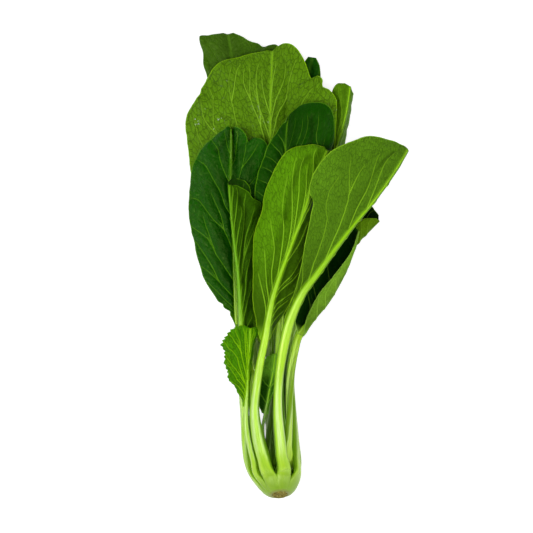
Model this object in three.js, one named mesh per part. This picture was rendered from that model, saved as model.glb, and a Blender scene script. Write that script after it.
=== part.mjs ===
// One head of choy sum, lying on its side on a flat surface.
//
// A head is a short stem, the crown, with a rosette of leaves around it. Every leaf is a fleshy stalk, which
// runs on as the midrib, and a thin blade that the midrib carries. Here each stalk and each blade is a solid
// of its own. The head lies along Y with its crown towards -Y, and the surface is at the lowest Z.
//
// Lengths are in millimetres and angles in degrees. The leaves are placed in a table frame, whose Z is the
// height above the surface, and the last lines move the whole head so that the middle of its footprint is
// the origin.
import * as THREE from "three";

// ---- Driving dimensions ----------------------------------------------------------------------------------

const bladeThickness = 1.0;
const midribGap = 0.35; // between a blade and the midrib that carries it
const bladeStart = 2.4; // half the width of a blade where it begins
const bladeRows = 11; // steps along a blade
const bladeColumns = 3; // steps across each half of a blade
const foldColumns = 5; // the same for a half that folds over
const stalkStep = 15; // the most that a stalk goes on between two rings
const stalkSides = 8;
const tipThickness = 1.1; // a midrib's thickness where it ends, at the tip of the blade
const underShare = 0.62; // how much of a stalk's thickness is on the leaf's underside
const sectionShares = [0, 0.28, 0.6, 1]; // where a stalk's foot, belly, waist and neck are along it

// The crown: a stub of stem with its cut face at the end. Its profile is radius against the height along
// the stem, and `lean` is the way the stem grows.
const crown = {
  centre: new THREE.Vector3(8.8, -154.5, 20.5),
  lean: new THREE.Vector3(-0.1, 1, -0.55).normalize(),
  profile: [
    [0, -4.2],
    [4.8, -4.2],
    [5.5, -3],
    [5.6, 0],
    [4.3, 5],
    [2.8, 10],
    [0, 13],
  ],
  sides: 16,
};

// Where the stalks of a whorl leave the crown and how they flare: radius from the stem's axis and height
// along it, at a stalk's foot and a little further on.
const whorls = {
  outer: { foot: [8.8, -3.4], flare: [13, 2.6] },
  side: { foot: [8.8, -3.4], flare: [12.6, 3.2] },
  inner: { foot: [7.8, 5], flare: [8.8, 10] },
};

const pale = "#b4dc5a";
const shaded = "#85a92a";
const underGreen = "#64913a";
const brightGreen = "#5b9012";
const deepGreen = "#2c5e06";
const duskGreen = "#3c6a10";

// ---- The leaves ------------------------------------------------------------------------------------------
// `under` says that the leaf lies with its underside up. `around` is the angle at which its stalk leaves the
// crown, from +X towards +Z. `stalk` and `midrib` are the points that the leaf's line goes through, up to
// where the blade starts and from there to its tip. `section` is the stalk's width and thickness at its
// foot, its belly, its waist and its neck, which is where the blade starts.
// Each half of the blade spans from the midrib to its `edge`. It bulges by `bulge` times its width, sways by
// `sway` times its width, first one way and then the other, and with a `fold` it bends round that line.

const leaves = [
  {
    name: "front_leaf",
    under: true,
    whorl: "outer",
    around: 119,
    section: [[7.4, 4], [9.2, 6.6], [6.3, 5.8], [5.7, 5]],
    stalk: [
      [-0.6, -138.8, 32.5], [-6.1, -118.4, 34.5], [-8.2, -100.2, 35.5], [-6.7, -82.7, 37],
      [-4.1, -65.9, 38.5],
    ],
    midrib: [
      [-1.2, -52, 40], [1.2, -38, 41.3], [4.6, -21, 43], [10.5, -3, 44.5], [18.5, 18, 45], [24.8, 35, 44],
      [31.5, 55, 41.5], [37.5, 70, 38], [42.5, 81, 35.5],
    ],
    left: {
      edge: [
        [-6.8, -46, 37], [-8.6, -34.6, 37.3], [-10.4, -16.4, 38], [-10.4, -2.4, 38.5], [-9.8, 11.5, 38.5],
        [-8, 25.5, 38.5], [-3.8, 39, 38], [-0.4, 53, 37.3], [6.5, 70.4, 35.8], [15.6, 81, 34.8],
        [23.3, 84.4, 34.3], [32.3, 85.8, 34], [40.5, 83.6, 34.3],
      ],
      bulge: 0.14,
      sway: -0.05,
    },
    right: {
      edge: [
        [4.5, -46, 37], [11.5, -35, 35], [19.2, -20, 34], [25.5, -5, 33.5], [31.1, 12, 33.5], [34.6, 30, 34],
        [37, 48, 34], [40, 62, 34], [45, 75, 34], [44.8, 81, 34.6],
      ],
      bulge: 0.1,
    },
    colours: [pale, brightGreen],
  },
  {
    name: "right_leaf",
    under: true,
    whorl: "outer",
    around: 75,
    section: [[7.4, 4], [7.9, 6.4], [6.2, 5.8], [7.4, 5.4]],
    stalk: [
      [11, -138.7, 34], [9.3, -121.1, 36.5], [7.8, -101.4, 38.5], [8.3, -81.1, 40.5], [10.7, -62.2, 43],
    ],
    midrib: [
      [14.6, -44, 45.4], [19.2, -30.5, 47], [26, -17, 49], [34.8, -5.5, 50.3], [47.5, 12, 52],
      [61, 29.5, 52.5], [71.5, 42, 51.5], [81, 54.5, 49], [90.5, 68.5, 45], [98.5, 81.5, 40.5],
    ],
    left: {
      edge: [
        [13.5, -35, 44], [16.5, -25, 45], [21, -12.7, 45], [24.4, 1, 45], [26.5, 14.8, 45], [29, 26, 44.8],
        [30.6, 35.4, 44.5], [32.4, 45, 44.5], [29.6, 51.5, 44.2], [30.5, 60, 44], [35.5, 69.8, 44],
        [46.6, 81.8, 42.5], [64, 89.3, 39.5], [74, 91, 38.5], [88.5, 88, 38], [96, 84.3, 38.8],
      ],
      bulge: 0.13,
      sway: 0.03,
    },
    right: {
      fold: [
        [22.5, -31, 45.5], [29.5, -18, 47.5], [38.5, -6.5, 48.8], [51.5, 10.5, 50], [65, 28, 50.2],
        [75.5, 40.5, 49.3], [85, 53, 47], [94, 66.5, 43.8], [99.5, 79, 41],
      ],
      edge: [
        [19, -31, 42], [24, -18, 41.5], [33, -4, 40.5], [44, 14, 40], [56, 32, 39.5], [67, 46, 39.5],
        [77, 58, 39.3], [87, 70, 39], [96, 80.5, 39],
      ],
    },
    colours: [pale, underGreen],
  },
  {
    name: "toothed_leaf",
    under: true,
    whorl: "outer",
    around: 155,
    section: [[4.4, 3.4], [5.6, 4.6], [4.6, 4.2], [3.6, 3.2]],
    stalk: [[-7.8, -137.7, 28], [-12.5, -120, 30.5], [-14.1, -108, 32.5]],
    midrib: [
      [-14, -98, 33.5], [-13.2, -84, 35.5], [-12.9, -70, 37.5], [-11.8, -56, 38.5], [-11.3, -43, 38.3],
    ],
    left: {
      edge: [
        [-17.6, -93, 32.5], [-20.5, -88.5, 32.3], [-23.8, -82.5, 32], [-27.6, -77.5, 31.8],
        [-29, -70.8, 31.8], [-30, -65.5, 32], [-30.6, -59.3, 32.3], [-33, -54, 32.6], [-28, -46.6, 34],
        [-21.6, -41.8, 36], [-15.5, -41, 37.3],
      ],
      bulge: 0.12,
    },
    right: {
      edge: [
        [-12, -88, 33.5], [-11.2, -79, 34], [-10.3, -70.5, 34.5], [-9.2, -61, 35], [-8, -53, 35.5],
        [-4.9, -45, 36.3], [-7.3, -42, 37.2],
      ],
      bulge: 0.1,
    },
    colours: [pale, brightGreen],
  },
  {
    name: "rolled_leaf",
    under: true,
    whorl: "outer",
    around: 186,
    section: [[6.4, 4], [7.2, 5.8], [6.4, 5.4], [5, 4.4]],
    stalk: [
      [-10.9, -141.1, 19], [-13.5, -127, 19.5], [-14.7, -110.7, 21.5], [-15.9, -93.7, 24],
      [-17, -76.8, 26.5],
    ],
    midrib: [
      [-17.9, -61, 29], [-17.9, -42, 32], [-18.9, -21, 36], [-20, -4, 37.5], [-22, 12, 38],
      [-24.2, 31, 37.5], [-26.3, 57, 36],
    ],
    left: {
      fold: [
        [-20, -50, 29.5], [-21, -38, 31.5], [-22.5, -21, 35], [-24.5, 0, 36.5], [-25.5, 19, 36],
        [-27.5, 38, 35.5], [-30, 55, 34.5], [-29, 61, 33.5],
      ],
      edge: [
        [-15, -50, 25.5], [-13, -38, 26], [-12, -20, 27], [-11.5, 0, 27.5], [-11.5, 20, 28],
        [-11.3, 36, 28.8], [-10.8, 46, 29.3], [-11, 54.5, 29.8], [-15, 59.8, 30.3], [-21, 61, 31.2],
      ],
    },
    right: {
      edge: [
        [-13, -54, 27.5], [-9.5, -45, 28.5], [-8.6, -36, 29], [-9.2, -18, 29.5], [-8.8, 0, 30],
        [-6.5, 18, 30.5], [-4, 36, 31], [-3.3, 44.5, 31.5], [-9, 47.5, 32.5], [-12.6, 52.5, 34],
        [-18, 55.7, 35], [-23.5, 57, 35.7],
      ],
      bulge: 0.12,
    },
    colours: [pale, brightGreen],
  },
  {
    name: "glossy_leaf",
    under: false,
    whorl: "outer",
    around: 227,
    section: [[6.8, 4], [7.6, 6], [6.8, 5.6], [5, 4.4]],
    stalk: [
      [-5.7, -141.8, 9.5], [-8.8, -122.7, 9.5], [-8.8, -102.8, 11], [-10.6, -75.8, 14.5], [-14.9, -56, 18],
    ],
    midrib: [
      [-19.5, -42, 20], [-21.5, -15, 22.5], [-23, 20, 23.5], [-25.5, 55, 24], [-25, 80, 24], [-25, 97, 23],
    ],
    left: {
      edge: [
        [-26, -33, 21], [-35, -23, 20], [-44, -7, 18.5], [-50, 11.6, 17.5], [-53.6, 29, 17], [-54.3, 47, 17],
        [-53.6, 61, 17], [-50, 74.6, 17.5], [-43, 85.5, 18.5], [-34, 94, 20], [-27, 98.5, 21.5],
      ],
      bulge: 0.16,
    },
    right: {
      edge: [
        [-14, -32, 22], [-7, -15, 22.5], [-3, 10, 23], [-3, 35, 23.5], [-4, 60, 24.5], [-1.5, 74, 25],
        [1, 84, 25], [-3, 89.3, 24.8], [-8, 89.6, 24.6], [-12, 86.4, 24.4], [-14.5, 92.5, 24.3],
        [-18.5, 97, 24], [-22.5, 98.5, 23.6],
      ],
      bulge: 0.08,
    },
    colours: [shaded, deepGreen],
  },
  {
    name: "dark_leaf",
    under: false,
    whorl: "inner",
    around: 352,
    section: [[6.4, 4.2], [7.6, 6], [6.4, 5.4], [5, 4.4]],
    stalk: [[14, -139, 17], [11, -121, 18.5], [9, -104, 20], [8.5, -83, 21.5], [9, -55, 24]],
    midrib: [
      [10, -25, 26.5], [11.5, 10, 29], [12.5, 45, 30.7], [13, 72, 31], [14.2, 93, 29.6], [15.6, 105.5, 28.2],
    ],
    left: {
      edge: [
        [3, -12, 26], [-1, 15, 27], [-5, 35, 28], [-8.3, 50, 28.5], [-6.5, 64, 28.5], [-3, 74, 28.2],
        [2.5, 86.5, 27.5], [8.5, 95.5, 26.8], [13, 102.2, 28.8],
      ],
      bulge: 0.1,
    },
    right: {
      edge: [
        [18, -12, 25], [26, 15, 26], [33, 45, 26.5], [42, 72, 26], [46.8, 88, 25.5], [47.5, 101, 25],
        [45.5, 109.5, 25], [41, 113.8, 25.3], [33, 115, 26], [25, 113.5, 26.6], [19.5, 110.2, 29],
      ],
      bulge: 0.14,
    },
    colours: [shaded, deepGreen],
  },
  {
    name: "upper_leaf",
    under: true,
    whorl: "side",
    around: 324,
    section: [[7.4, 4], [8.4, 6.2], [6.6, 5.4], [5, 4.4]],
    stalk: [
      [21.1, -140.2, 12.5], [19.1, -122.6, 11], [17.3, -103.6, 10], [15.8, -74.6, 9], [18.7, -40, 8.5],
    ],
    midrib: [[26, -5, 9], [33, 30, 10.5], [41, 60, 12.5], [49.5, 85, 15], [56, 108, 17], [59, 127, 16.5]],
    left: {
      edge: [
        [22, 15, 6.5], [27, 45, 8.5], [33, 72, 11.5], [40, 95, 13.5], [44.5, 112, 14.5], [46.2, 123, 15],
        [49.5, 129, 15.2], [55, 129.5, 15.6],
      ],
      bulge: 0.08,
    },
    right: {
      edge: [[34, 12, 4], [44, 40, 1], [51, 65, 0.8], [55, 87, 3], [59.5, 106, 8], [61.5, 122, 13]],
      bulge: 0.18,
    },
    colours: [shaded, underGreen],
  },
  {
    name: "broad_leaf",
    under: true,
    whorl: "inner",
    around: 250,
    section: [[5.6, 4], [8.4, 6.4], [7.4, 6], [6, 5]],
    stalk: [[4.3, -139.4, 14], [3.3, -121, 14.5], [3.3, -104.1, 14], [3.2, -84.3, 14], [3, -70.2, 14.4]],
    midrib: [
      [2.8, -56.1, 15], [2.5, -36.3, 15.8], [2.5, -20, 16.5], [2.5, 20, 18], [2.7, 55, 19.5], [2.7, 85, 20],
      [2.9, 115, 18.5], [3.6, 138, 15], [4.3, 152, 13.4],
    ],
    left: {
      edge: [
        [-4.6, -54, 13.6], [-10.6, -42.7, 13.4], [-14.1, -27.2, 13.2], [-20.1, -9.5, 12], [-30, 20, 9],
        [-46, 45, 6], [-54.5, 68, 4.5], [-57, 92, 4.5], [-56.6, 107, 4.7], [-50.8, 117, 5.7],
        [-47.2, 122, 6.5], [-46, 127, 7], [-39.8, 137.5, 8.5], [-30, 145.5, 10], [-18.7, 148.7, 11.5],
        [-4.6, 151.5, 12.8], [1, 152.6, 13.2],
      ],
      bulge: 0.13,
    },
    right: {
      edge: [
        [9.5, -54, 15], [14.5, -41.3, 15], [18, -25, 15], [22.9, -2.5, 15], [32, 20, 15], [42, 50, 16],
        [48, 82, 19], [49.2, 106, 20.3], [49.4, 117.5, 20], [45, 124, 19.2], [39.8, 127, 18.4],
        [39.7, 132, 17.8], [36.2, 134.8, 17], [31.8, 132.8, 16.2], [28, 143.5, 15], [23.5, 151.5, 14],
        [18, 156.7, 13.4], [12, 157.6, 13.3], [6.8, 155.2, 13.3],
      ],
      bulge: 0.06,
    },
    colours: [shaded, underGreen],
  },
  {
    name: "slim_leaf",
    under: false,
    whorl: "inner",
    around: 304,
    section: [[6, 4], [6.6, 5], [5.4, 4.6], [3.6, 3.4]],
    stalk: [
      [13.8, -139, 9.5], [11.5, -121.3, 8.5], [10.8, -103.7, 7.5], [11.3, -74.8, 5.5], [12.4, -40.1, 4.5],
    ],
    midrib: [[13, -10, 4.2], [16, 30, 4.6], [20, 70, 6], [25, 105, 7.5], [29, 130, 8.2], [32.3, 148, 8.5]],
    left: {
      edge: [
        [9, 10, 3], [10, 45, 3.5], [13, 80, 5], [18, 110, 7], [23.5, 133, 8], [26.5, 143.5, 8.5],
        [29.5, 148.4, 8.5],
      ],
      bulge: 0.08,
    },
    right: {
      edge: [
        [20, 10, 3], [27, 45, 4], [33, 80, 6], [36.5, 112, 8], [38.2, 130, 8.5], [37.8, 141, 8.5],
        [35, 147.6, 8.5],
      ],
      bulge: 0.08,
    },
    colours: [shaded, deepGreen],
  },
  {
    name: "folded_leaf",
    under: false,
    whorl: "inner",
    around: 56,
    section: [[5.6, 4], [6.4, 5.2], [5.6, 5], [4.8, 4.2]],
    stalk: [
      [13.6, -134, 25.8], [14.6, -122.3, 27.3], [15.1, -103.4, 27.5], [15.8, -88, 27.5], [17.3, -73.2, 27.5],
      [20.1, -59.2, 27.5],
    ],
    midrib: [
      [23.5, -48, 27.5], [33, -36, 27.5], [43.5, -24, 27.5], [54, -6, 27], [60, 9, 26.5], [64.5, 25, 26.5],
    ],
    left: {
      edge: [[20, -30, 25], [27, -10, 24], [38, 10, 24], [50, 22, 25], [61, 29, 26]],
      bulge: 0.12,
    },
    right: {
      fold: [[38, -34, 33], [49, -20, 34], [59, -4, 34], [64, 10, 33], [67, 24, 31]],
      edge: [[28, -36, 34], [36, -20, 36], [46, -7, 36], [54, 3, 35], [60, 12, 34], [64.5, 25, 31.5]],
    },
    colours: [pale, deepGreen],
  },
  {
    name: "pointed_leaf",
    under: false,
    whorl: "side",
    around: 14,
    section: [[6.4, 4], [8, 5.8], [6.4, 5.2], [4.6, 4]],
    stalk: [
      [20.4, -139.5, 22.5], [19.1, -122, 21.5], [17.5, -103.1, 20], [16.3, -78.5, 18], [21.5, -51.1, 16.5],
    ],
    midrib: [[34, -26, 15], [46, -8, 14.5], [56, 7, 14.5], [64.5, 17.5, 15], [72, 25, 15.5], [79, 32, 16.5]],
    left: {
      edge: [[30, -12, 12], [38, 8, 12], [50, 26, 12.5], [62, 38, 13.5], [72.5, 43.5, 15], [79, 36, 16.5]],
      bulge: 0.16,
    },
    right: {
      fold: [[48, -10, 19.5], [60, 6, 21], [68, 16, 21.5], [75, 24, 21.5], [81, 31.5, 20]],
      edge: [[40, -10, 19.5], [50, 10, 21.5], [59, 23, 22], [67, 33, 22], [77, 34, 20.5]],
    },
    colours: [pale, duskGreen],
  },
  {
    name: "small_leaf",
    under: true,
    whorl: "inner",
    around: 130,
    section: [[3.6, 2.8], [3.4, 2.8], [2.8, 2.4], [2, 1.8]],
    stalk: [[5, -140, 26], [-1.5, -124, 27.5], [-2.6, -113, 28]],
    midrib: [[-1, -103, 29], [0.8, -93, 30], [2.4, -84, 31], [4.7, -72, 32], [5.9, -60.5, 32]],
    left: {
      edge: [[-5.6, -97, 29], [-6.4, -87.2, 29.3], [-4.3, -76.6, 30], [-0.8, -63.3, 31]],
      bulge: 0.1,
    },
    right: {
      edge: [[2.5, -96, 28], [5.5, -86, 29], [8.3, -75, 30], [9.2, -62.6, 31]],
      bulge: 0.1,
    },
    colours: [pale, duskGreen],
  },
  {
    name: "back_leaf",
    under: false,
    whorl: "outer",
    around: 275,
    section: [[7.4, 4], [9, 6.4], [8, 6], [6, 5]],
    stalk: [[6, -139, 4], [4.8, -120.9, 3.9], [2.1, -103.9, 4], [-5.5, -74.8, 4.2], [-7.8, -40.1, 4]],
    midrib: [
      [-4, -15, 3.8], [-8, 25, 3.8], [-13, 65, 4.2], [-18, 105, 5], [-23, 137, 5.5], [-27.5, 164.6, 5],
    ],
    left: {
      edge: [
        [-14, 0, 2], [-27, 30, 0.8], [-37, 65, 0.8], [-41.5, 100, 1], [-42, 130, 2], [-45, 150, 3.5],
        [-47.6, 161, 4], [-46.5, 164, 4.3], [-38, 164.2, 4.6], [-31, 165.4, 4.8],
      ],
      bulge: 0.1,
    },
    right: {
      edge: [
        [3, 0, 2.5], [5, 30, 2], [7, 65, 2.5], [8, 100, 3.5], [8.5, 130, 4.5], [9, 150, 5], [7, 156.8, 5],
        [-2, 155.8, 5], [-6, 158.4, 5], [-12, 159.8, 5], [-18, 163, 5], [-23.5, 165.5, 5],
      ],
      bulge: 0.1,
    },
    colours: [shaded, duskGreen],
  },
];

// ---- Lines and frames ------------------------------------------------------------------------------------

const up = new THREE.Vector3(0, 0, 1);
const points = (list) => list.map((p) => new THREE.Vector3(...p));
const smooth = (list) => new THREE.CatmullRomCurve3(list, false, "catmullrom", 0.5);

// A point at a radius and height from the stem, at an angle around it.
function aroundStem(around, [radius, height]) {
  const side = new THREE.Vector3(1, 0, 0).addScaledVector(crown.lean, -crown.lean.x).normalize();
  side.applyAxisAngle(crown.lean, -THREE.MathUtils.degToRad(around));
  return crown.centre.clone().addScaledVector(crown.lean, height).addScaledVector(side, radius);
}

// The line of a leaf from its foot on the crown to its tip, and the share of it at which the blade starts.
function leafLine(leaf) {
  const { foot, flare } = whorls[leaf.whorl];
  const base = [aroundStem(leaf.around, foot), aroundStem(leaf.around, flare), ...points(leaf.stalk)];
  const line = smooth([...base, ...points(leaf.midrib)]);
  const lengths = line.getLengths();
  const steps = lengths.length - 1;
  const spans = base.length + leaf.midrib.length - 1;
  const start = lengths[Math.round((steps * base.length) / spans)] / lengths[steps];
  return { line, start };
}

// The place on a leaf's line at a share of it, with the directions to its left, out of its upper face as it
// lies, and, turned by `roll` about the line, the same for a stalk that twists.
function frameAt(line, share, roll = 0) {
  const at = line.getPointAt(share);
  const along = line.getTangentAt(share);
  const left = new THREE.Vector3().crossVectors(up, along).normalize().applyAxisAngle(along, roll);
  const top = new THREE.Vector3().crossVectors(along, left);
  return { at, left, top };
}

// ---- Solids ----------------------------------------------------------------------------------------------

// A closed solid from its points and faces, turned so that the faces point out.
function solid(vertices, faces) {
  let volume = 0;
  const normal = new THREE.Vector3();
  for (const [a, b, c] of faces) {
    volume += vertices[a].dot(normal.crossVectors(vertices[b], vertices[c]));
  }
  const index = faces.flatMap(([a, b, c]) => (volume > 0 ? [a, b, c] : [a, c, b]));
  const geometry = new THREE.BufferGeometry().setFromPoints(vertices);
  geometry.setIndex(index);
  geometry.computeVertexNormals();
  return geometry;
}

// The two triangles between four corners.
const quad = (a, b, c, d) => [[a, b, c], [a, c, d]];

// A stalk's width and thickness at a share of the leaf's line, which the blade starts at `start` of.
function sectionAt(leaf, share, start) {
  const places = [...sectionShares.map((part) => part * start), 1];
  const sizes = [...leaf.section, [tipThickness, tipThickness]];
  const next = Math.max(1, places.findIndex((place) => share <= place));
  const t = (share - places[next - 1]) / (places[next] - places[next - 1]);
  const ease = share < start ? THREE.MathUtils.smoothstep(t, 0, 1) : t;
  return sizes[next].map((size, i) => THREE.MathUtils.lerp(sizes[next - 1][i], size, ease));
}

// How deep the stalk goes on the leaf's upper side, which is where the blade crosses it.
const upperDepth = (thickness) => thickness * (1 - underShare);

// The fleshy stalk and the midrib: a tapering tube, flatter on the leaf's upper side.
function stalkGeometry(leaf) {
  const { line, start } = leafLine(leaf);
  const towardUnder = leaf.under ? 1 : -1;
  const turn = (leaf.under ? 90 : 270) - leaf.around;
  const footRoll = THREE.MathUtils.degToRad(THREE.MathUtils.euclideanModulo(turn + 180, 360) - 180);
  const rings = Math.ceil(line.getLength() / stalkStep);
  const vertices = [];
  for (let i = 0; i <= rings; i += 1) {
    const share = i / rings;
    const roll = footRoll * (1 - THREE.MathUtils.smoothstep(share, 0, start));
    const { at, left, top } = frameAt(line, share, roll);
    const [width, thickness] = sectionAt(leaf, share, start);
    for (let j = 0; j < stalkSides; j += 1) {
      const angle = (2 * Math.PI * j) / stalkSides;
      const depth = Math.sin(angle) > 0 ? thickness - upperDepth(thickness) : upperDepth(thickness);
      const point = at.clone().addScaledVector(left, (Math.cos(angle) * width) / 2);
      vertices.push(point.addScaledVector(top, Math.sin(angle) * depth * towardUnder));
    }
  }
  const faces = [];
  for (let i = 0; i < rings; i += 1) {
    for (let j = 0; j < stalkSides; j += 1) {
      const next = (j + 1) % stalkSides;
      const a = i * stalkSides;
      faces.push(...quad(a + j, a + next, a + stalkSides + next, a + stalkSides + j));
    }
  }
  const last = rings * stalkSides;
  for (let j = 1; j < stalkSides - 1; j += 1) {
    faces.push([0, j + 1, j], [last, last + j, last + j + 1]);
  }
  return solid(vertices, faces);
}

// One row across a half of the blade, from the midrib to the edge.
function halfRow(half, lines, middle, top, share, columns) {
  const rim = lines.edge.getPointAt(share);
  const width = rim.distanceTo(middle);
  const bend = lines.fold
    ? lines.fold.getPointAt(share)
    : middle.clone().lerp(rim, 0.5).addScaledVector(top, half.bulge * width);
  const row = [];
  for (let j = 1; j <= columns; j += 1) {
    const t = j / columns;
    const point = middle.clone().multiplyScalar((1 - t) ** 2);
    point.addScaledVector(bend, 2 * t * (1 - t)).addScaledVector(rim, t * t);
    point.addScaledVector(top, (half.sway ?? 0) * width * Math.sin(2 * Math.PI * t));
    row.push(point);
  }
  return row;
}

// A closed sheet of even thickness around a grid of points.
function sheet(grid, thickness) {
  const rows = grid.length;
  const columns = grid[0].length;
  const at = (i, j) => grid[Math.min(Math.max(i, 0), rows - 1)][Math.min(Math.max(j, 0), columns - 1)];
  const vertices = [];
  for (const side of [1, -1]) {
    for (let i = 0; i < rows; i += 1) {
      for (let j = 0; j < columns; j += 1) {
        const along = at(i + 1, j).clone().sub(at(i - 1, j));
        const across = at(i, j + 1).clone().sub(at(i, j - 1));
        const normal = across.cross(along).normalize();
        vertices.push(at(i, j).clone().addScaledVector(normal, (side * thickness) / 2));
      }
    }
  }
  const back = rows * columns;
  const faces = [];
  for (let i = 0; i < rows - 1; i += 1) {
    for (let j = 0; j < columns - 1; j += 1) {
      const a = i * columns + j;
      faces.push(...quad(a, a + 1, a + columns + 1, a + columns));
      faces.push(...quad(back + a, back + a + columns, back + a + columns + 1, back + a + 1));
    }
  }
  const rimPoints = [];
  for (let j = 0; j < columns; j += 1) rimPoints.push(j);
  for (let i = 1; i < rows; i += 1) rimPoints.push(i * columns + columns - 1);
  for (let j = columns - 2; j >= 0; j -= 1) rimPoints.push((rows - 1) * columns + j);
  for (let i = rows - 2; i > 0; i -= 1) rimPoints.push(i * columns);
  rimPoints.forEach((a, k) => {
    const b = rimPoints[(k + 1) % rimPoints.length];
    faces.push(...quad(b, a, back + a, back + b));
  });
  return solid(vertices, faces);
}

// The blade: two halves spread from the midrib, over the leaf's upper side of it.
function bladeGeometry(leaf) {
  const { line, start } = leafLine(leaf);
  const towardUpper = leaf.under ? -1 : 1;
  const spine = (share) => {
    const place = frameAt(line, start + (1 - start) * share);
    const [, thickness] = sectionAt(leaf, start + (1 - start) * share, start);
    const lift = upperDepth(thickness) + midribGap + bladeThickness / 2;
    place.at.addScaledVector(place.top, lift * towardUpper);
    return place;
  };
  const foot = spine(0);
  const sideLines = (half, way) => {
    const first = foot.at.clone().addScaledVector(foot.left, bladeStart * way);
    const through = (list) => list && smooth([first, ...points(list)]);
    return { edge: through(half.edge), fold: through(half.fold) };
  };
  const leftLines = sideLines(leaf.left, 1);
  const rightLines = sideLines(leaf.right, -1);
  const columnsOf = (half) => (half.fold ? foldColumns : bladeColumns);
  const grid = [];
  for (let i = 0; i <= bladeRows; i += 1) {
    const share = i / bladeRows;
    const { at, top } = spine(share);
    const left = halfRow(leaf.left, leftLines, at, top, share, columnsOf(leaf.left));
    const right = halfRow(leaf.right, rightLines, at, top, share, columnsOf(leaf.right));
    const row = [...left.reverse(), at, ...right];
    row.forEach((point) => point.setZ(Math.max(point.z, bladeThickness / 2)));
    grid.push(row);
  }
  return sheet(grid, bladeThickness);
}

// The crown: the profile turned about the stem.
function crownGeometry() {
  const profile = crown.profile.map(([radius, height]) => new THREE.Vector2(radius, height));
  const geometry = new THREE.LatheGeometry(profile, crown.sides);
  const turn = new THREE.Quaternion().setFromUnitVectors(new THREE.Vector3(0, 1, 0), crown.lean);
  return geometry.applyQuaternion(turn).translate(...crown.centre.toArray());
}

// ---- The head --------------------------------------------------------------------------------------------

const head = new THREE.Group();

function addPiece(name, geometry, colour, roughness) {
  const material = new THREE.MeshStandardMaterial({ color: colour, roughness, metalness: 0 });
  const mesh = new THREE.Mesh(geometry, material);
  mesh.name = name;
  head.add(mesh);
}

addPiece("crown", crownGeometry(), "#8d8a45", 0.8);
for (const leaf of leaves) {
  const [stalkColour, bladeColour] = leaf.colours;
  addPiece(`${leaf.name}_stalk`, stalkGeometry(leaf), stalkColour, 0.35);
  addPiece(`${leaf.name}_blade`, bladeGeometry(leaf), bladeColour, leaf.under ? 0.6 : 0.35);
}

// Rest the head on Z = 0 with the middle of its footprint at the origin.
const box = new THREE.Box3().setFromObject(head);
const middle = box.getCenter(new THREE.Vector3());
head.position.set(-middle.x, -middle.y, -box.min.z);

export default head;
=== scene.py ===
# %% [markdown]
# # One head of choy sum
# Choy sum is a leaf vegetable: a short stem, the crown, with a rosette of leaves round it. Each leaf is a
# fleshy stalk that runs on as the midrib, and a thin blade on both sides of it. This head lies on its side
# on a pale table, and the camera looks down on it. The solids of the head are already placed. Here they
# become fine meshes with veins, rims, bulges and wet-looking materials, each in the place of its own
# solid.

# %% The frame
import math

import bpy
import numpy as np
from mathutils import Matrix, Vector


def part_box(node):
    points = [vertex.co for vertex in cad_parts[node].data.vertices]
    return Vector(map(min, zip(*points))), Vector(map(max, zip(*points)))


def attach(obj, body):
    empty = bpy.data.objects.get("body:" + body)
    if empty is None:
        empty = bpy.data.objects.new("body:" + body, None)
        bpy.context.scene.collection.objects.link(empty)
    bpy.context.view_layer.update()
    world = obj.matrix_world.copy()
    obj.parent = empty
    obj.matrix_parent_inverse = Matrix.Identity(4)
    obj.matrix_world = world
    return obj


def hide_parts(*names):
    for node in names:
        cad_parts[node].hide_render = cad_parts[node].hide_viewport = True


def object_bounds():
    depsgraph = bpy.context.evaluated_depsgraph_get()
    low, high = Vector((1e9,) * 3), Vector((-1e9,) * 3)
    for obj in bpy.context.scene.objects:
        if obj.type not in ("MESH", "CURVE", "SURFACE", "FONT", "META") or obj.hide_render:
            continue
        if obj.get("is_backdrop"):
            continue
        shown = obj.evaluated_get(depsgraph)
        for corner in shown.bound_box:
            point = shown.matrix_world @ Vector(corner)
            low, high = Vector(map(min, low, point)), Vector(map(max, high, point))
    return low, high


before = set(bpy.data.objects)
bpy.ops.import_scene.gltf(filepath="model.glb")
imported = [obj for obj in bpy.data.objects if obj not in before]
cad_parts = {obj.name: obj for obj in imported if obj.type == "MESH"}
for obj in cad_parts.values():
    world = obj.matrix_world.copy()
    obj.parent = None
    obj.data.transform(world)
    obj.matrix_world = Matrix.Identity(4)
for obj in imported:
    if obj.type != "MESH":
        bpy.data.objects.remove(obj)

CAD_BOX = [list(corner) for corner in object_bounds()]
print("solids loaded:", len(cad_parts))
print("the whole head, mm:", [round((b - a) * 1000, 1) for a, b in zip(*CAD_BOX)])

# %% [markdown]
# ## Where things are
# The leaves are described in millimetres in a table frame, whose Z is the height above the table, because
# that is how one measures a vegetable on a board. The solids may sit at another origin. The crown is a
# simple turned shape, so its box in the table frame can be worked out, and the step from there to the box
# of the real solid places everything else.

# %% The crown's place
MM = 0.001
CROWN_CENTRE = np.array([8.8, -154.5, 20.5])
CROWN_LEAN = np.array([-0.1, 1.0, -0.55])
CROWN_LEAN /= np.linalg.norm(CROWN_LEAN)
CROWN_PROFILE = [(0, -4.2), (4.8, -4.2), (5.5, -3), (5.6, 0), (4.3, 5), (2.8, 10), (0, 13)]
CROWN_SIDES = 16


def turned_about_stem(profile, sides):
    """Rings of points for a profile of (radius, height) turned about the stem, in table millimetres."""
    tilt = Vector((0, 1, 0)).rotation_difference(Vector(CROWN_LEAN))
    angles = 2 * math.pi * np.arange(sides) / sides
    rings = [[tilt @ Vector((r * math.sin(a), h, r * math.cos(a))) for a in angles] for r, h in profile]
    return np.array(rings) + CROWN_CENTRE


crown_low = turned_about_stem(CROWN_PROFILE, CROWN_SIDES).reshape(-1, 3).min(0)
SHIFT = np.array(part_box("crown")[0]) / MM - crown_low
print("from the table frame to the model's frame, mm:", SHIFT.round(2))


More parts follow.
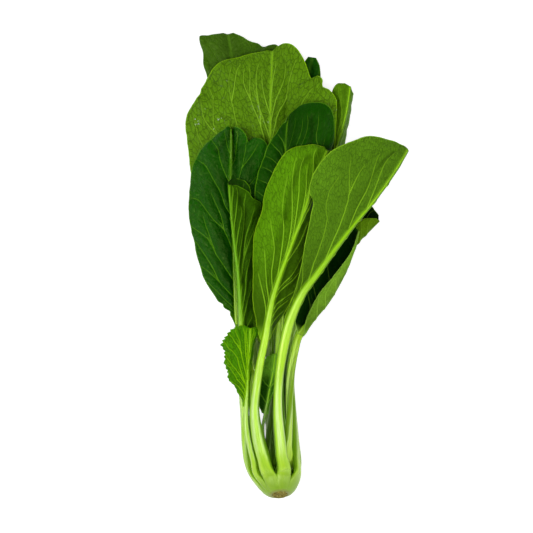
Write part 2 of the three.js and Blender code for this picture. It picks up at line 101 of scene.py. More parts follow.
def to_model(points):
    """Table millimetres to the model's metres."""
    return (np.asarray(points, float) + SHIFT) * MM

# %% [markdown]
# ## Camera, table and light
# The head is seen from straight above, from about 2 m with a long lens, so that near and far leaves keep
# their sizes. The table is a plain pale sheet. To the camera it shines a little by itself, so that it
# looks white like a lit backdrop, but the head's own shadow still darkens it. Three long soft lamps draw
# the streaks of light on the stalks, and a dim even room fills in. Together they are about as bright as
# plain daylight, so that a colour comes out as it was mixed.

# %% Camera
SEEN_WIDTH, SEEN_AT = 373.1, 2000    # mm across the picture, at this distance from the camera
CAMERA_HEIGHT = 2030
SENSOR = 36


def add_object(name, data):
    """A new object in the scene for a mesh, a lamp or a camera."""
    thing = bpy.data.objects.new(name, data)
    bpy.context.collection.objects.link(thing)
    return thing


camera_data = bpy.data.cameras.new("camera")
camera_data.sensor_width = SENSOR
camera_data.lens = SENSOR * SEEN_AT / SEEN_WIDTH
camera_data.clip_end = 20
camera = add_object("camera", camera_data)
camera.location = to_model([0, 0, CAMERA_HEIGHT])
bpy.context.scene.camera = camera
print("camera at", [round(c, 3) for c in camera.location], "lens", round(camera_data.lens, 1))


# %% Node helpers
def feed(node, values):
    """Link inputs of a node, by name or number, to other sockets, or set them to plain values."""
    for key, value in values.items():
        socket = node.inputs[key]
        if isinstance(value, bpy.types.NodeSocket):
            socket.id_data.links.new(value, socket)
        else:
            socket.default_value = value


class Nodes:
    """A node tree, with a short way to add each kind of node that the finishes need."""

    def __init__(self, tree):
        self.tree = tree

    def add(self, kind, values, **settings):
        node = self.tree.nodes.new(f"ShaderNode{kind}")
        for key, value in settings.items():
            setattr(node, key, value)
        feed(node, values)
        return node

    def maths(self, operation, *values, clamp=False):
        return self.add("Math", dict(enumerate(values)), operation=operation, use_clamp=clamp).outputs[0]

    def between(self, value, low, high, **more):
        """0 at low and 1 at high, with a soft step between them. Low may be above high."""
        values = {"Value": value, "From Min": low, "From Max": high, **more}
        return self.add("MapRange", values, interpolation_type="SMOOTHSTEP").outputs["Result"]

    def split(self, vector):
        return self.add("SeparateXYZ", {0: vector}).outputs


def new_finish(name):
    """A new material, with its nodes and its shader."""
    material = bpy.data.materials.new(name)
    material.use_nodes = True
    return material, Nodes(material.node_tree), material.node_tree.nodes["Principled BSDF"]


# %% Table
HALF_TABLE = 3.0
TABLE_TONE = (0.4, 0.4, 0.4, 1)
TABLE_GLOW = 0.84
WHITE = (1, 1, 1, 1)


def lit_backdrop(nodes):
    """1 for rays that see the backdrop directly or in a reflection, else 0."""
    path = nodes.add("LightPath", {}).outputs
    seen = nodes.maths("ADD", path["Is Camera Ray"], path["Is Glossy Ray"])
    return nodes.maths("ADD", seen, path["Is Transmission Ray"], clamp=True)


paper, nodes, shader = new_finish("pale table")
feed(shader, {"Base Color": TABLE_TONE, "Roughness": 0.9, "Specular IOR Level": 0.0})
glow = nodes.maths("MULTIPLY", lit_backdrop(nodes), TABLE_GLOW)
feed(shader, {"Emission Color": WHITE, "Emission Strength": glow})
table_mesh = bpy.data.meshes.new("table")
corners = [(x * HALF_TABLE, y * HALF_TABLE, 0) for x, y in ((-1, -1), (1, -1), (1, 1), (-1, 1))]
table_mesh.from_pydata(corners, [], [(0, 1, 2, 3)])
table_mesh.materials.append(paper)
table = add_object("table", table_mesh)
table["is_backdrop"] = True
print("table is", 2 * HALF_TABLE, "m square at height 0")

# %% Light
ROOM_LIGHT = 0.2       # how bright the room is for the light that falls on the leaves
WALL_FOOT, WALL_TOP = 0.15, 0.6    # the backdrop fades from white between these slopes of the view

world = bpy.data.worlds.new("soft room")
bpy.context.scene.world = world
world.use_nodes = True
room = Nodes(world.node_tree)
upward = room.split(room.add("TexCoord", {}).outputs["Generated"])["Z"]
walls = room.between(upward, WALL_FOOT, WALL_TOP, **{"To Min": 1 - ROOM_LIGHT, "To Max": 0.0})
strength = room.maths("MULTIPLY_ADD", lit_backdrop(room), walls, ROOM_LIGHT)
feed(world.node_tree.nodes["Background"], {"Color": WHITE, "Strength": strength})


def soft_lamp(name, place, long, wide, watts):
    """A lamp, long beside the head and wide across, in metres, that looks at the middle of the head."""
    data = bpy.data.lights.new(name, "AREA")
    data.shape = "RECTANGLE"
    data.size, data.size_y = long, wide
    data.energy = watts
    lamp = add_object(name, data)
    lamp.location = place
    lamp.rotation_euler = Vector(place).to_track_quat("Z", "Y").to_euler()


soft_lamp("window lamp", (-1.15, -0.2, 1.45), 1.4, 0.6, 18)
soft_lamp("side lamp", (1.3, -0.1, 1.1), 0.8, 0.8, 11)
soft_lamp("ceiling lamp", (-0.2, -0.4, 2.3), 1.8, 0.32, 11)
bpy.context.scene.view_settings.view_transform = "Standard"

# %% [markdown]
# ## Lines
# Everything long on a leaf follows a smooth line: the stalk, the midrib, the rims. A line is given by a
# few points, and a Catmull-Rom curve passes smoothly through all of them. It is then walked in even steps,
# so that a share of 0.5 is half way along it.

# %% Smooth lines
STEPS = 80             # samples of a line between two of its points
LOOK_AROUND = 1.5      # the way along a line is taken over this many mm on each side


def unit(vectors):
    return vectors / np.maximum(np.linalg.norm(vectors, axis=-1, keepdims=True), 1e-12)


def smoothstep(low, high, x):
    t = np.clip((x - low) / (high - low), 0, 1)
    return t * t * (3 - 2 * t)


def hump(x, width):
    """1 at zero, falling off smoothly over about the width to both sides."""
    return np.exp(-((x / width) ** 2))


class Line:
    """A smooth line through points, read at shares of its length."""

    def __init__(self, points):
        p = np.asarray(points, float)
        p = np.vstack([2 * p[0] - p[1], p, 2 * p[-1] - p[-2]])
        spans = len(p) - 3
        place = np.linspace(0, spans, STEPS * spans + 1)
        k = np.minimum(place.astype(int), spans - 1)
        f = (place - k)[:, None]
        t0, t1 = (p[k + 2] - p[k]) / 2, (p[k + 3] - p[k + 1]) / 2
        a, b = p[k + 1], p[k + 2]
        self.samples = a + t0 * f + (3 * (b - a) - 2 * t0 - t1) * f**2 + (2 * (a - b) + t0 + t1) * f**3
        steps = np.linalg.norm(np.diff(self.samples, axis=0), axis=1)
        self.shares = np.concatenate([[0], np.cumsum(steps)])
        self.length = self.shares[-1]
        self.shares /= self.length

    def at(self, share):
        return np.stack([np.interp(share, self.shares, column) for column in self.samples.T], -1)

    def along(self, share):
        step = LOOK_AROUND / self.length
        return unit(self.at(np.minimum(share + step, 1)) - self.at(np.maximum(share - step, 0)))


# %% Frames along a line
UP = np.array([0.0, 0.0, 1.0])


def frame_at(line, share, roll=0.0):
    """Places on a line at some shares, with the ways to its left and out of its top, turned by roll."""
    along = line.along(share)
    left = unit(np.cross(UP, along))
    top = np.cross(along, left)
    roll = np.asarray(roll, float)[..., None]
    left = left * np.cos(roll) + top * np.sin(roll)
    return line.at(share), left, np.cross(along, left)


# %% Where a stalk leaves the crown
WHORLS = {
    "outer": ((8.8, -3.4), (13, 2.6)),
    "side": ((8.8, -3.4), (12.6, 3.2)),
    "inner": ((7.8, 5), (8.8, 10)),
}


def stem_side(around):
    """The way out from the stem at an angle around it, in degrees from +X towards +Z."""
    side = unit(np.array([1.0, 0, 0]) - CROWN_LEAN * CROWN_LEAN[0])
    a = math.radians(-around)
    return side * math.cos(a) + np.cross(CROWN_LEAN, side) * math.sin(a)


def around_stem(around, place):
    """The point at an angle around the stem, at a radius from it and a height along it."""
    radius, height = place
    return CROWN_CENTRE + CROWN_LEAN * height + stem_side(around) * radius


print("stalks start at radius and height, mm:", {name: places[0] for name, places in WHORLS.items()})

# %% [markdown]
# ## The leaves
# Each leaf is a few lines. `stalk` and `midrib` are the points that its middle goes through. `section` is
# the width and thickness of the stalk at its foot, belly, waist and neck, where the blade starts. Each
# half of the blade spans from the midrib to its `edge`. It bulges by `bulge` and waves by `sway` times its
# width, and with a `fold` it bends round that line instead. A leaf with `under` lies with its pale
# underside up. It grows from one of the three whorls of the crown, at an angle around it.

# %% The leaves on top
LEAVES = {}


def grow(name, whorl, around, **lines):
    """Add a leaf to the head."""
    LEAVES[name] = dict(number=len(LEAVES), whorl=whorl, around=around, **lines)


grow("front", "outer", 119, under=True, section=[(7.4, 4), (9.2, 6.6), (6.3, 5.8), (5.7, 5)],
    stalk=[(-0.6, -138.8, 32.5), (-6.1, -118.4, 34.5), (-8.2, -100.2, 35.5), (-6.7, -82.7, 37),
        (-4.1, -65.9, 38.5)],
    midrib=[(-1.2, -52, 40), (1.2, -38, 41.3), (4.6, -21, 43), (10.5, -3, 44.5), (18.5, 18, 45),
        (24.8, 35, 44), (31.5, 55, 41.5), (37.5, 70, 38), (42.5, 81, 35.5)],
    left=dict(bulge=0.14, sway=-0.05, edge=[(-6.8, -46, 37), (-8.6, -34.6, 37.3), (-10.4, -16.4, 38),
        (-10.4, -2.4, 38.5), (-9.8, 11.5, 38.5), (-8, 25.5, 38.5), (-3.8, 39, 38), (-0.4, 53, 37.3),
        (6.5, 70.4, 35.8), (15.6, 81, 34.8), (23.3, 84.4, 34.3), (32.3, 85.8, 34), (40.5, 83.6, 34.3)]),
    right=dict(bulge=0.1, edge=[(4.5, -46, 37), (11.5, -35, 35), (19.2, -20, 34), (25.5, -5, 33.5),
        (31.1, 12, 33.5), (34.6, 30, 34), (37, 48, 34), (40, 62, 34), (45, 75, 34), (44.8, 81, 34.6)]))
grow("right", "outer", 75, under=True, section=[(7.4, 4), (7.9, 6.4), (6.2, 5.8), (7.4, 5.4)],
    stalk=[(11, -138.7, 34), (9.3, -121.1, 36.5), (7.8, -101.4, 38.5), (8.3, -81.1, 40.5),
        (10.7, -62.2, 43)],
    midrib=[(14.6, -44, 45.4), (19.2, -30.5, 47), (26, -17, 49), (34.8, -5.5, 50.3), (47.5, 12, 52),
        (61, 29.5, 52.5), (71.5, 42, 51.5), (81, 54.5, 49), (90.5, 68.5, 45), (98.5, 81.5, 40.5)],
    left=dict(bulge=0.13, sway=0.03, edge=[(13.5, -35, 44), (16.5, -25, 45), (21, -12.7, 45), (24.4, 1, 45),
        (26.5, 14.8, 45), (29, 26, 44.8), (30.6, 35.4, 44.5), (32.4, 45, 44.5), (29.6, 51.5, 44.2),
        (30.5, 60, 44), (35.5, 69.8, 44), (46.6, 81.8, 42.5), (64, 89.3, 39.5), (74, 91, 38.5),
        (88.5, 88, 38), (96, 84.3, 38.8)]),
    right=dict(fold=[(22.5, -31, 45.5), (29.5, -18, 47.5), (38.5, -6.5, 48.8), (51.5, 10.5, 50),
        (65, 28, 50.2), (75.5, 40.5, 49.3), (85, 53, 47), (94, 66.5, 43.8), (99.5, 79, 41)],
        edge=[(19, -31, 42), (24, -18, 41.5), (33, -4, 40.5), (44, 14, 40), (56, 32, 39.5), (67, 46, 39.5),
            (77, 58, 39.3), (87, 70, 39), (96, 80.5, 39)]))
print("leaves so far:", ", ".join(LEAVES))

# %% The leaves at the left
grow("toothed", "outer", 155, under=True, section=[(4.4, 3.4), (5.6, 4.6), (4.6, 4.2), (3.6, 3.2)],
    stalk=[(-7.8, -137.7, 28), (-12.5, -120, 30.5), (-14.1, -108, 32.5)],
    midrib=[(-14, -98, 33.5), (-13.2, -84, 35.5), (-12.9, -70, 37.5), (-11.8, -56, 38.5),
        (-11.3, -43, 38.3)],
    left=dict(bulge=0.12, edge=[(-17.6, -93, 32.5), (-20.5, -88.5, 32.3), (-23.8, -82.5, 32),
        (-27.6, -77.5, 31.8), (-29, -70.8, 31.8), (-30, -65.5, 32), (-30.6, -59.3, 32.3), (-33, -54, 32.6),
        (-28, -46.6, 34), (-21.6, -41.8, 36), (-15.5, -41, 37.3)]),
    right=dict(bulge=0.1, edge=[(-12, -88, 33.5), (-11.2, -79, 34), (-10.3, -70.5, 34.5), (-9.2, -61, 35),
        (-8, -53, 35.5), (-4.9, -45, 36.3), (-7.3, -42, 37.2)]))
grow("rolled", "outer", 186, under=True, section=[(6.4, 4), (7.2, 5.8), (6.4, 5.4), (5, 4.4)],
    stalk=[(-10.9, -141.1, 19), (-13.5, -127, 19.5), (-14.7, -110.7, 21.5), (-15.9, -93.7, 24),
        (-17, -76.8, 26.5)],
    midrib=[(-17.9, -61, 29), (-17.9, -42, 32), (-18.9, -21, 36), (-20, -4, 37.5), (-22, 12, 38),
        (-24.2, 31, 37.5), (-26.3, 57, 36)],
    left=dict(fold=[(-20, -50, 29.5), (-21, -38, 31.5), (-22.5, -21, 35), (-24.5, 0, 36.5), (-25.5, 19, 36),
        (-27.5, 38, 35.5), (-30, 55, 34.5), (-29, 61, 33.5)],
        edge=[(-15, -50, 25.5), (-13, -38, 26), (-12, -20, 27), (-11.5, 0, 27.5), (-11.5, 20, 28),
            (-11.3, 36, 28.8), (-10.8, 46, 29.3), (-11, 54.5, 29.8), (-15, 59.8, 30.3), (-21, 61, 31.2)]),
    right=dict(bulge=0.12, edge=[(-13, -54, 27.5), (-9.5, -45, 28.5), (-8.6, -36, 29), (-9.2, -18, 29.5),
        (-8.8, 0, 30), (-6.5, 18, 30.5), (-4, 36, 31), (-3.3, 44.5, 31.5), (-9, 47.5, 32.5),
        (-12.6, 52.5, 34), (-18, 55.7, 35), (-23.5, 57, 35.7)]))
grow("glossy", "outer", 227, under=False, section=[(6.8, 4), (7.6, 6), (6.8, 5.6), (5, 4.4)],
    stalk=[(-5.7, -141.8, 9.5), (-8.8, -122.7, 9.5), (-8.8, -102.8, 11), (-10.6, -75.8, 14.5),
        (-14.9, -56, 18)],
    midrib=[(-19.5, -42, 20), (-21.5, -15, 22.5), (-23, 20, 23.5), (-25.5, 55, 24), (-25, 80, 24),
        (-25, 97, 23)],
    left=dict(bulge=0.16, edge=[(-26, -33, 21), (-35, -23, 20), (-44, -7, 18.5), (-50, 11.6, 17.5),
        (-53.6, 29, 17), (-54.3, 47, 17), (-53.6, 61, 17), (-50, 74.6, 17.5), (-43, 85.5, 18.5),
        (-34, 94, 20), (-27, 98.5, 21.5)]),
    right=dict(bulge=0.08, edge=[(-14, -32, 22), (-7, -15, 22.5), (-3, 10, 23), (-3, 35, 23.5),
        (-4, 60, 24.5), (-1.5, 74, 25), (1, 84, 25), (-3, 89.3, 24.8), (-8, 89.6, 24.6), (-12, 86.4, 24.4),
        (-14.5, 92.5, 24.3), (-18.5, 97, 24), (-22.5, 98.5, 23.6)]))
print("leaves so far:", ", ".join(LEAVES))

# %% The leaves at the top right
grow("dark", "inner", 352, under=False, section=[(6.4, 4.2), (7.6, 6), (6.4, 5.4), (5, 4.4)],
    stalk=[(14, -139, 17), (11, -121, 18.5), (9, -104, 20), (8.5, -83, 21.5), (9, -55, 24)],
    midrib=[(10, -25, 26.5), (11.5, 10, 29), (12.5, 45, 30.7), (13, 72, 31), (14.2, 93, 29.6),
        (15.6, 105.5, 28.2)],
    left=dict(bulge=0.1, edge=[(3, -12, 26), (-1, 15, 27), (-5, 35, 28), (-8.3, 50, 28.5), (-6.5, 64, 28.5),
        (-3, 74, 28.2), (2.5, 86.5, 27.5), (8.5, 95.5, 26.8), (13, 102.2, 28.8)]),
    right=dict(bulge=0.14, edge=[(18, -12, 25), (26, 15, 26), (33, 45, 26.5), (42, 72, 26),
        (46.8, 88, 25.5), (47.5, 101, 25), (45.5, 109.5, 25), (41, 113.8, 25.3), (33, 115, 26),
        (25, 113.5, 26.6), (19.5, 110.2, 29)]))
grow("upper", "side", 324, under=True, section=[(7.4, 4), (8.4, 6.2), (6.6, 5.4), (5, 4.4)],
    stalk=[(21.1, -140.2, 12.5), (19.1, -122.6, 11), (17.3, -103.6, 10), (15.8, -74.6, 9),
        (18.7, -40, 8.5)],
    midrib=[(26, -5, 9), (33, 30, 10.5), (41, 60, 12.5), (49.5, 85, 15), (56, 108, 17), (59, 127, 16.5)],
    left=dict(bulge=0.08, edge=[(22, 15, 6.5), (27, 45, 8.5), (33, 72, 11.5), (40, 95, 13.5),
        (44.5, 112, 14.5), (46.2, 123, 15), (49.5, 129, 15.2), (55, 129.5, 15.6)]),
    right=dict(bulge=0.18, edge=[(34, 12, 4), (44, 40, 1), (51, 65, 0.8), (55, 87, 3), (59.5, 106, 8),
        (61.5, 122, 13)]))
print("leaves so far:", ", ".join(LEAVES))

# %% The big leaves behind
grow("broad", "inner", 250, under=True, section=[(5.6, 4), (8.4, 6.4), (7.4, 6), (6, 5)],
    stalk=[(4.3, -139.4, 14), (3.3, -121, 14.5), (3.3, -104.1, 14), (3.2, -84.3, 14), (3, -70.2, 14.4)],
    midrib=[(2.8, -56.1, 15), (2.5, -36.3, 15.8), (2.5, -20, 16.5), (2.5, 20, 18), (2.7, 55, 19.5),
        (2.7, 85, 20), (2.9, 115, 18.5), (3.6, 138, 15), (4.3, 152, 13.4)],
    left=dict(bulge=0.13, edge=[(-4.6, -54, 13.6), (-10.6, -42.7, 13.4), (-14.1, -27.2, 13.2),
        (-20.1, -9.5, 12), (-30, 20, 9), (-46, 45, 6), (-54.5, 68, 4.5), (-57, 92, 4.5), (-56.6, 107, 4.7),
        (-50.8, 117, 5.7), (-47.2, 122, 6.5), (-46, 127, 7), (-39.8, 137.5, 8.5), (-30, 145.5, 10),
        (-18.7, 148.7, 11.5), (-4.6, 151.5, 12.8), (1, 152.6, 13.2)]),
    right=dict(bulge=0.06, edge=[(9.5, -54, 15), (14.5, -41.3, 15), (18, -25, 15), (22.9, -2.5, 15),
        (32, 20, 15), (42, 50, 16), (48, 82, 19), (49.2, 106, 20.3), (49.4, 117.5, 20), (45, 124, 19.2),
        (39.8, 127, 18.4), (39.7, 132, 17.8), (36.2, 134.8, 17), (31.8, 132.8, 16.2), (28, 143.5, 15),
        (23.5, 151.5, 14), (18, 156.7, 13.4), (12, 157.6, 13.3), (6.8, 155.2, 13.3)]))
grow("slim", "inner", 304, under=False, section=[(6, 4), (6.6, 5), (5.4, 4.6), (3.6, 3.4)],
    stalk=[(13.8, -139, 9.5), (11.5, -121.3, 8.5), (10.8, -103.7, 7.5), (11.3, -74.8, 5.5),
        (12.4, -40.1, 4.5)],
    midrib=[(13, -10, 4.2), (16, 30, 4.6), (20, 70, 6), (25, 105, 7.5), (29, 130, 8.2), (32.3, 148, 8.5)],
    left=dict(bulge=0.08, edge=[(9, 10, 3), (10, 45, 3.5), (13, 80, 5), (18, 110, 7), (23.5, 133, 8),
        (26.5, 143.5, 8.5), (29.5, 148.4, 8.5)]),
    right=dict(bulge=0.08, edge=[(20, 10, 3), (27, 45, 4), (33, 80, 6), (36.5, 112, 8), (38.2, 130, 8.5),
        (37.8, 141, 8.5), (35, 147.6, 8.5)]))
print("leaves so far:", ", ".join(LEAVES))

# %% The folded leaves at the right
grow("folded", "inner", 56, under=False, section=[(5.6, 4), (6.4, 5.2), (5.6, 5), (4.8, 4.2)],
    stalk=[(13.6, -134, 25.8), (14.6, -122.3, 27.3), (15.1, -103.4, 27.5), (15.8, -88, 27.5),
        (17.3, -73.2, 27.5), (20.1, -59.2, 27.5)],
    midrib=[(23.5, -48, 27.5), (33, -36, 27.5), (43.5, -24, 27.5), (54, -6, 27), (60, 9, 26.5),
        (64.5, 25, 26.5)],
    left=dict(bulge=0.12, edge=[(20, -30, 25), (27, -10, 24), (38, 10, 24), (50, 22, 25), (61, 29, 26)]),
    right=dict(fold=[(38, -34, 33), (49, -20, 34), (59, -4, 34), (64, 10, 33), (67, 24, 31)],
        edge=[(28, -36, 34), (36, -20, 36), (46, -7, 36), (54, 3, 35), (60, 12, 34), (64.5, 25, 31.5)]))
grow("pointed", "side", 14, under=False, section=[(6.4, 4), (8, 5.8), (6.4, 5.2), (4.6, 4)],
    stalk=[(20.4, -139.5, 22.5), (19.1, -122, 21.5), (17.5, -103.1, 20), (16.3, -78.5, 18),
        (21.5, -51.1, 16.5)],
    midrib=[(34, -26, 15), (46, -8, 14.5), (56, 7, 14.5), (64.5, 17.5, 15), (72, 25, 15.5), (79, 32, 16.5)],
    left=dict(bulge=0.16, edge=[(30, -12, 12), (38, 8, 12), (50, 26, 12.5), (62, 38, 13.5),
        (72.5, 43.5, 15), (79, 36, 16.5)]),
    right=dict(fold=[(48, -10, 19.5), (60, 6, 21), (68, 16, 21.5), (75, 24, 21.5), (81, 31.5, 20)],
        edge=[(40, -10, 19.5), (50, 10, 21.5), (59, 23, 22), (67, 33, 22), (77, 34, 20.5)]))
print("leaves so far:", ", ".join(LEAVES))

# %% The small leaf and the leaf behind all
grow("small", "inner", 130, under=True, section=[(3.6, 2.8), (3.4, 2.8), (2.8, 2.4), (2, 1.8)],
    stalk=[(5, -140, 26), (-1.5, -124, 27.5), (-2.6, -113, 28)],
    midrib=[(-1, -103, 29), (0.8, -93, 30), (2.4, -84, 31), (4.7, -72, 32), (5.9, -60.5, 32)],
    left=dict(bulge=0.1, edge=[(-5.6, -97, 29), (-6.4, -87.2, 29.3), (-4.3, -76.6, 30), (-0.8, -63.3, 31)]),
    right=dict(bulge=0.1, edge=[(2.5, -96, 28), (5.5, -86, 29), (8.3, -75, 30), (9.2, -62.6, 31)]))
grow("back", "outer", 275, under=False, section=[(7.4, 4), (9, 6.4), (8, 6), (6, 5)],
    stalk=[(6, -139, 4), (4.8, -120.9, 3.9), (2.1, -103.9, 4), (-5.5, -74.8, 4.2), (-7.8, -40.1, 4)],
    midrib=[(-4, -15, 3.8), (-8, 25, 3.8), (-13, 65, 4.2), (-18, 105, 5), (-23, 137, 5.5),
        (-27.5, 164.6, 5)],
    left=dict(bulge=0.1, edge=[(-14, 0, 2), (-27, 30, 0.8), (-37, 65, 0.8), (-41.5, 100, 1), (-42, 130, 2),
        (-45, 150, 3.5), (-47.6, 161, 4), (-46.5, 164, 4.3), (-38, 164.2, 4.6), (-31, 165.4, 4.8)]),
    right=dict(bulge=0.1, edge=[(3, 0, 2.5), (5, 30, 2), (7, 65, 2.5), (8, 100, 3.5), (8.5, 130, 4.5),
        (9, 150, 5), (7, 156.8, 5), (-2, 155.8, 5), (-6, 158.4, 5), (-12, 159.8, 5), (-18, 163, 5),
        (-23.5, 165.5, 5)]))
print("leaves so far:", ", ".join(LEAVES))

# %% [markdown]
# ## From lines to surfaces
# A stalk is a tube swept along the leaf's line, with a section that swells at the belly and narrows to the
# neck. At the foot it turns so that its back faces away from the stem, as stalks sit round a real crown.
# Past the neck the tube goes on as the midrib, which thins quickly. The blade is a sheet: each row of it
# runs from the midrib to the rim as a curve, and the rows follow each other up the leaf.

# %% The leaf's line and its section
SECTION_SHARES = np.array([0, 0.28, 0.6, 1])    # of the stalk, for the four sizes of its section
UNDER_SHARE = 0.62     # how much of a stalk's thickness is on the leaf's underside
MIDRIB_TIP = (1.0, 0.9)


def leaf_line(leaf):
    """The line from the foot on the crown to the tip, and the share of it at which the blade starts."""
    base = [*(around_stem(leaf["around"], place) for place in WHORLS[leaf["whorl"]]), *leaf["stalk"]]
    line = Line([*base, *leaf["midrib"]])
    return line, line.shares[STEPS * len(base)]


def section_at(leaf, share, start):
    """The stalk's width and thickness at shares of the line. In the blade it thins quickly."""
    places = SECTION_SHARES * start
    sizes = np.array(leaf["section"], float)
    k = np.clip(np.searchsorted(places, share) - 1, 0, len(places) - 2)
    t = smoothstep(0, 1, (share - places[k]) / (places[k + 1] - places[k]))
    in_stalk = sizes[k] + (sizes[k + 1] - sizes[k]) * t[..., None]
    left_over = np.clip((1 - share) / (1 - start), 0, 1)[..., None]
    in_blade = np.array(MIDRIB_TIP) + (sizes[-1] - MIDRIB_TIP) * left_over ** leaf.get("thinning", 2.0)
    return np.where((share < start)[..., None], in_stalk, in_blade)


# %% Soft irregularity
WAVES = 7


def unevenness(u, v, size, seed):
    """A smooth random height from about -1 to 1 over a surface with millimetre coordinates u and v."""
    rng = np.random.default_rng(seed)
    total = np.zeros(np.broadcast(u, v).shape)
    for _ in range(WAVES):
        turn, phase = rng.uniform(0, 2 * math.pi, 2)
        wave = size * rng.uniform(0.7, 1.5)
        total += np.sin(2 * math.pi * (u * math.cos(turn) + v * math.sin(turn)) / wave + phase)
    return total / WAVES * 1.4


# %% The grid of a blade
BLADE_START = 2.4      # half the width of a blade where it begins
CELL = 0.7             # the size of the mesh cells, in mm
ON_RIB = 0.12          # how far the sheet lies to the midrib's upper side, as a share of its thickness
FOLD_ROOM = 1.6        # a folded half gets columns for this many times the reach of its fold
WORN_RIM = (0.004, 6)  # a rim without teeth still has fine nicks: depth as a share, spacing in mm


def reach_of(half, share, length, seed):
    """How far the rim really gets, as a share of its line: teeth and notches take some away."""
    depth, spacing = half.get("teeth", WORN_RIM)
    place = share * length / spacing
    jag = place + 0.35 * unevenness(place, 0 * place, 3.0, seed)
    reach = 1 - depth * (jag % 1.0) + 0.012 * unevenness(share * length, 0 * share, 25, seed + 1)
    for at, cut, width in half.get("notches", []):
        reach -= cut * hump(share - at, width)
    return reach


def half_grid(half, lines, middle, top, share, columns, length, seed):
    """One half of a blade: rows of points from the midrib to the rim."""
    rim = lines["edge"].at(share)
    width = np.linalg.norm(rim - middle, axis=-1, keepdims=True)
    if "fold" in half:
        bend = lines["fold"].at(share)
    else:
        bend = (middle + rim) / 2 + top * half["bulge"] * width
    reach = reach_of(half, share, length, seed)[:, None]
    t = np.linspace(0, 1, columns + 1)[None, :, None] * reach[..., None]
    points = (1 - t) ** 2 * middle[:, None] + 2 * t * (1 - t) * bend[:, None] + t**2 * rim[:, None]
    points += (top * width * half.get("sway", 0))[:, None] * np.sin(2 * math.pi * t)
    return points


def blade_grid(leaf):
    """The middle sheet of a blade as two halves of points, and what is known about it."""
    line, start = leaf_line(leaf)
    to_upper = -1 if leaf["under"] else 1
    length = line.length * (1 - start)
    share = np.linspace(0, 1, int(length / CELL) + 1)
    on_line = start + (1 - start) * share
    at, left, top = frame_at(line, on_line)
    sizes = section_at(leaf, on_line, start)
    middle = at + top * (ON_RIB * sizes[:, 1:] * to_upper)
    halves = []
    for side, way in (("left", 1), ("right", -1)):
        half = leaf[side]
        first = middle[0] + left[0] * BLADE_START * way
        lines = {key: Line([first, *half[key]]) for key in ("edge", "fold") if key in half}
        reaches = {key: np.linalg.norm(lines[key].at(share) - middle, axis=-1).max() for key in lines}
        widest = max(reaches["edge"], FOLD_ROOM * reaches.get("fold", 0))
        columns = max(6, int(widest / CELL))
        seed = leaf["number"] * 10 + (way > 0)
        points = half_grid(half, lines, middle, top, share, columns, length, seed)
        halves.append(dict(points=points, half=half, way=way, seed=seed))
    return dict(share=share, length=length, sizes=sizes, halves=halves, to_under=-to_upper)


# %% [markdown]
# ## Side veins
# Side veins leave the midrib at a low angle, run out and bend towards the tip, and some fork. No two
# leaves have the same ones, and evenly spaced veins look like a drawing, so on the leaves that show best
# each is given one by one. A vein is a few points, each with two percentages: how far along the blade, and
# how far out from the midrib to the rim. A fork starts on its parent. Leaves that hardly show get even
# ones.

# %% Veins of the top leaves
def set_veins(name, **halves):
    """Give halves of a leaf their side veins."""
    for side, veins in halves.items():
        LEAVES[name][side]["veins"] = [[(along / 100, out / 100) for along, out in vein] for vein in veins]
    print(name, "side veins:", {side: len(veins) for side, veins in halves.items()})


set_veins("front",
    left=[[(24, 0), (32, 27), (44, 37), (54, 66)], [(17, 0), (27, 36), (41, 61)],
        [(29, 0), (40, 13), (53, 28), (62, 48), (75, 62)], [(40, 0), (55, 13), (68, 32), (84, 69)],
        [(50, 0), (63, 13), (74, 26), (87, 56)], [(62, 0), (76, 10), (86, 34)],
        [(74, 0), (86, 13), (94, 58)], [(8, 0), (18, 30), (30, 70)]],
    right=[[(56, 0), (65, 14), (76, 42)], [(40, 0), (49, 30), (62, 46)], [(25, 0), (34, 45), (47, 67)],
        [(21, 0), (31, 50), (39, 85)], [(15, 0), (22, 47), (28, 85)], [(10, 0), (18, 45), (23, 80)],
        [(5, 0), (11, 40), (17, 80)], [(66, 0), (76, 20), (86, 50)]])
set_veins("right",
    left=[[(16, 0), (21, 50), (26, 94)], [(21, 0), (29, 30), (40, 40), (56, 60), (66, 64)],
        [(32, 0), (45, 16), (55, 21), (64, 34), (74, 70)], [(64, 34), (70, 41), (77, 50)],
        [(52, 0), (63, 12), (74, 22), (85, 50)], [(65, 0), (76, 13), (86, 30), (93, 38)],
        [(8, 0), (13, 45), (18, 90)]])

# %% Veins of the leaves at the left
set_veins("toothed",
    left=[[(20, 0), (47, 33), (61, 48), (71, 97)], [(35, 0), (57, 21), (77, 39), (88, 86)],
        [(49, 0), (68, 12), (87, 27), (95, 65)], [(13, 0), (29, 39), (47, 87)],
        [(28, 10), (42, 45), (57, 100)], [(7, 0), (18, 40), (30, 95)], [(2, 0), (9, 40), (16, 90)],
        [(62, 0), (80, 10), (97, 35)], [(66, 24), (74, 50), (80, 90)]],
    right=[[(57, 0), (77, 37), (92, 60)], [(32, 0), (48, 55), (62, 92)], [(14, 0), (28, 50), (42, 95)],
        [(74, 0), (88, 25), (98, 50)]])
set_veins("rolled",
    right=[[(50, 0), (60, 22), (73, 40), (82, 45), (90, 80)], [(42, 0), (52, 37), (66, 50), (80, 74)],
        [(24, 0), (36, 38), (47, 56), (60, 90)], [(70, 0), (81, 14), (89, 34), (96, 66)],
        [(81, 0), (91, 12), (98, 44)], [(16, 0), (27, 40), (38, 90)], [(8, 0), (15, 40), (22, 90)],
        [(33, 0), (45, 30), (58, 50), (70, 85)], [(60, 0), (72, 20), (84, 38)]])
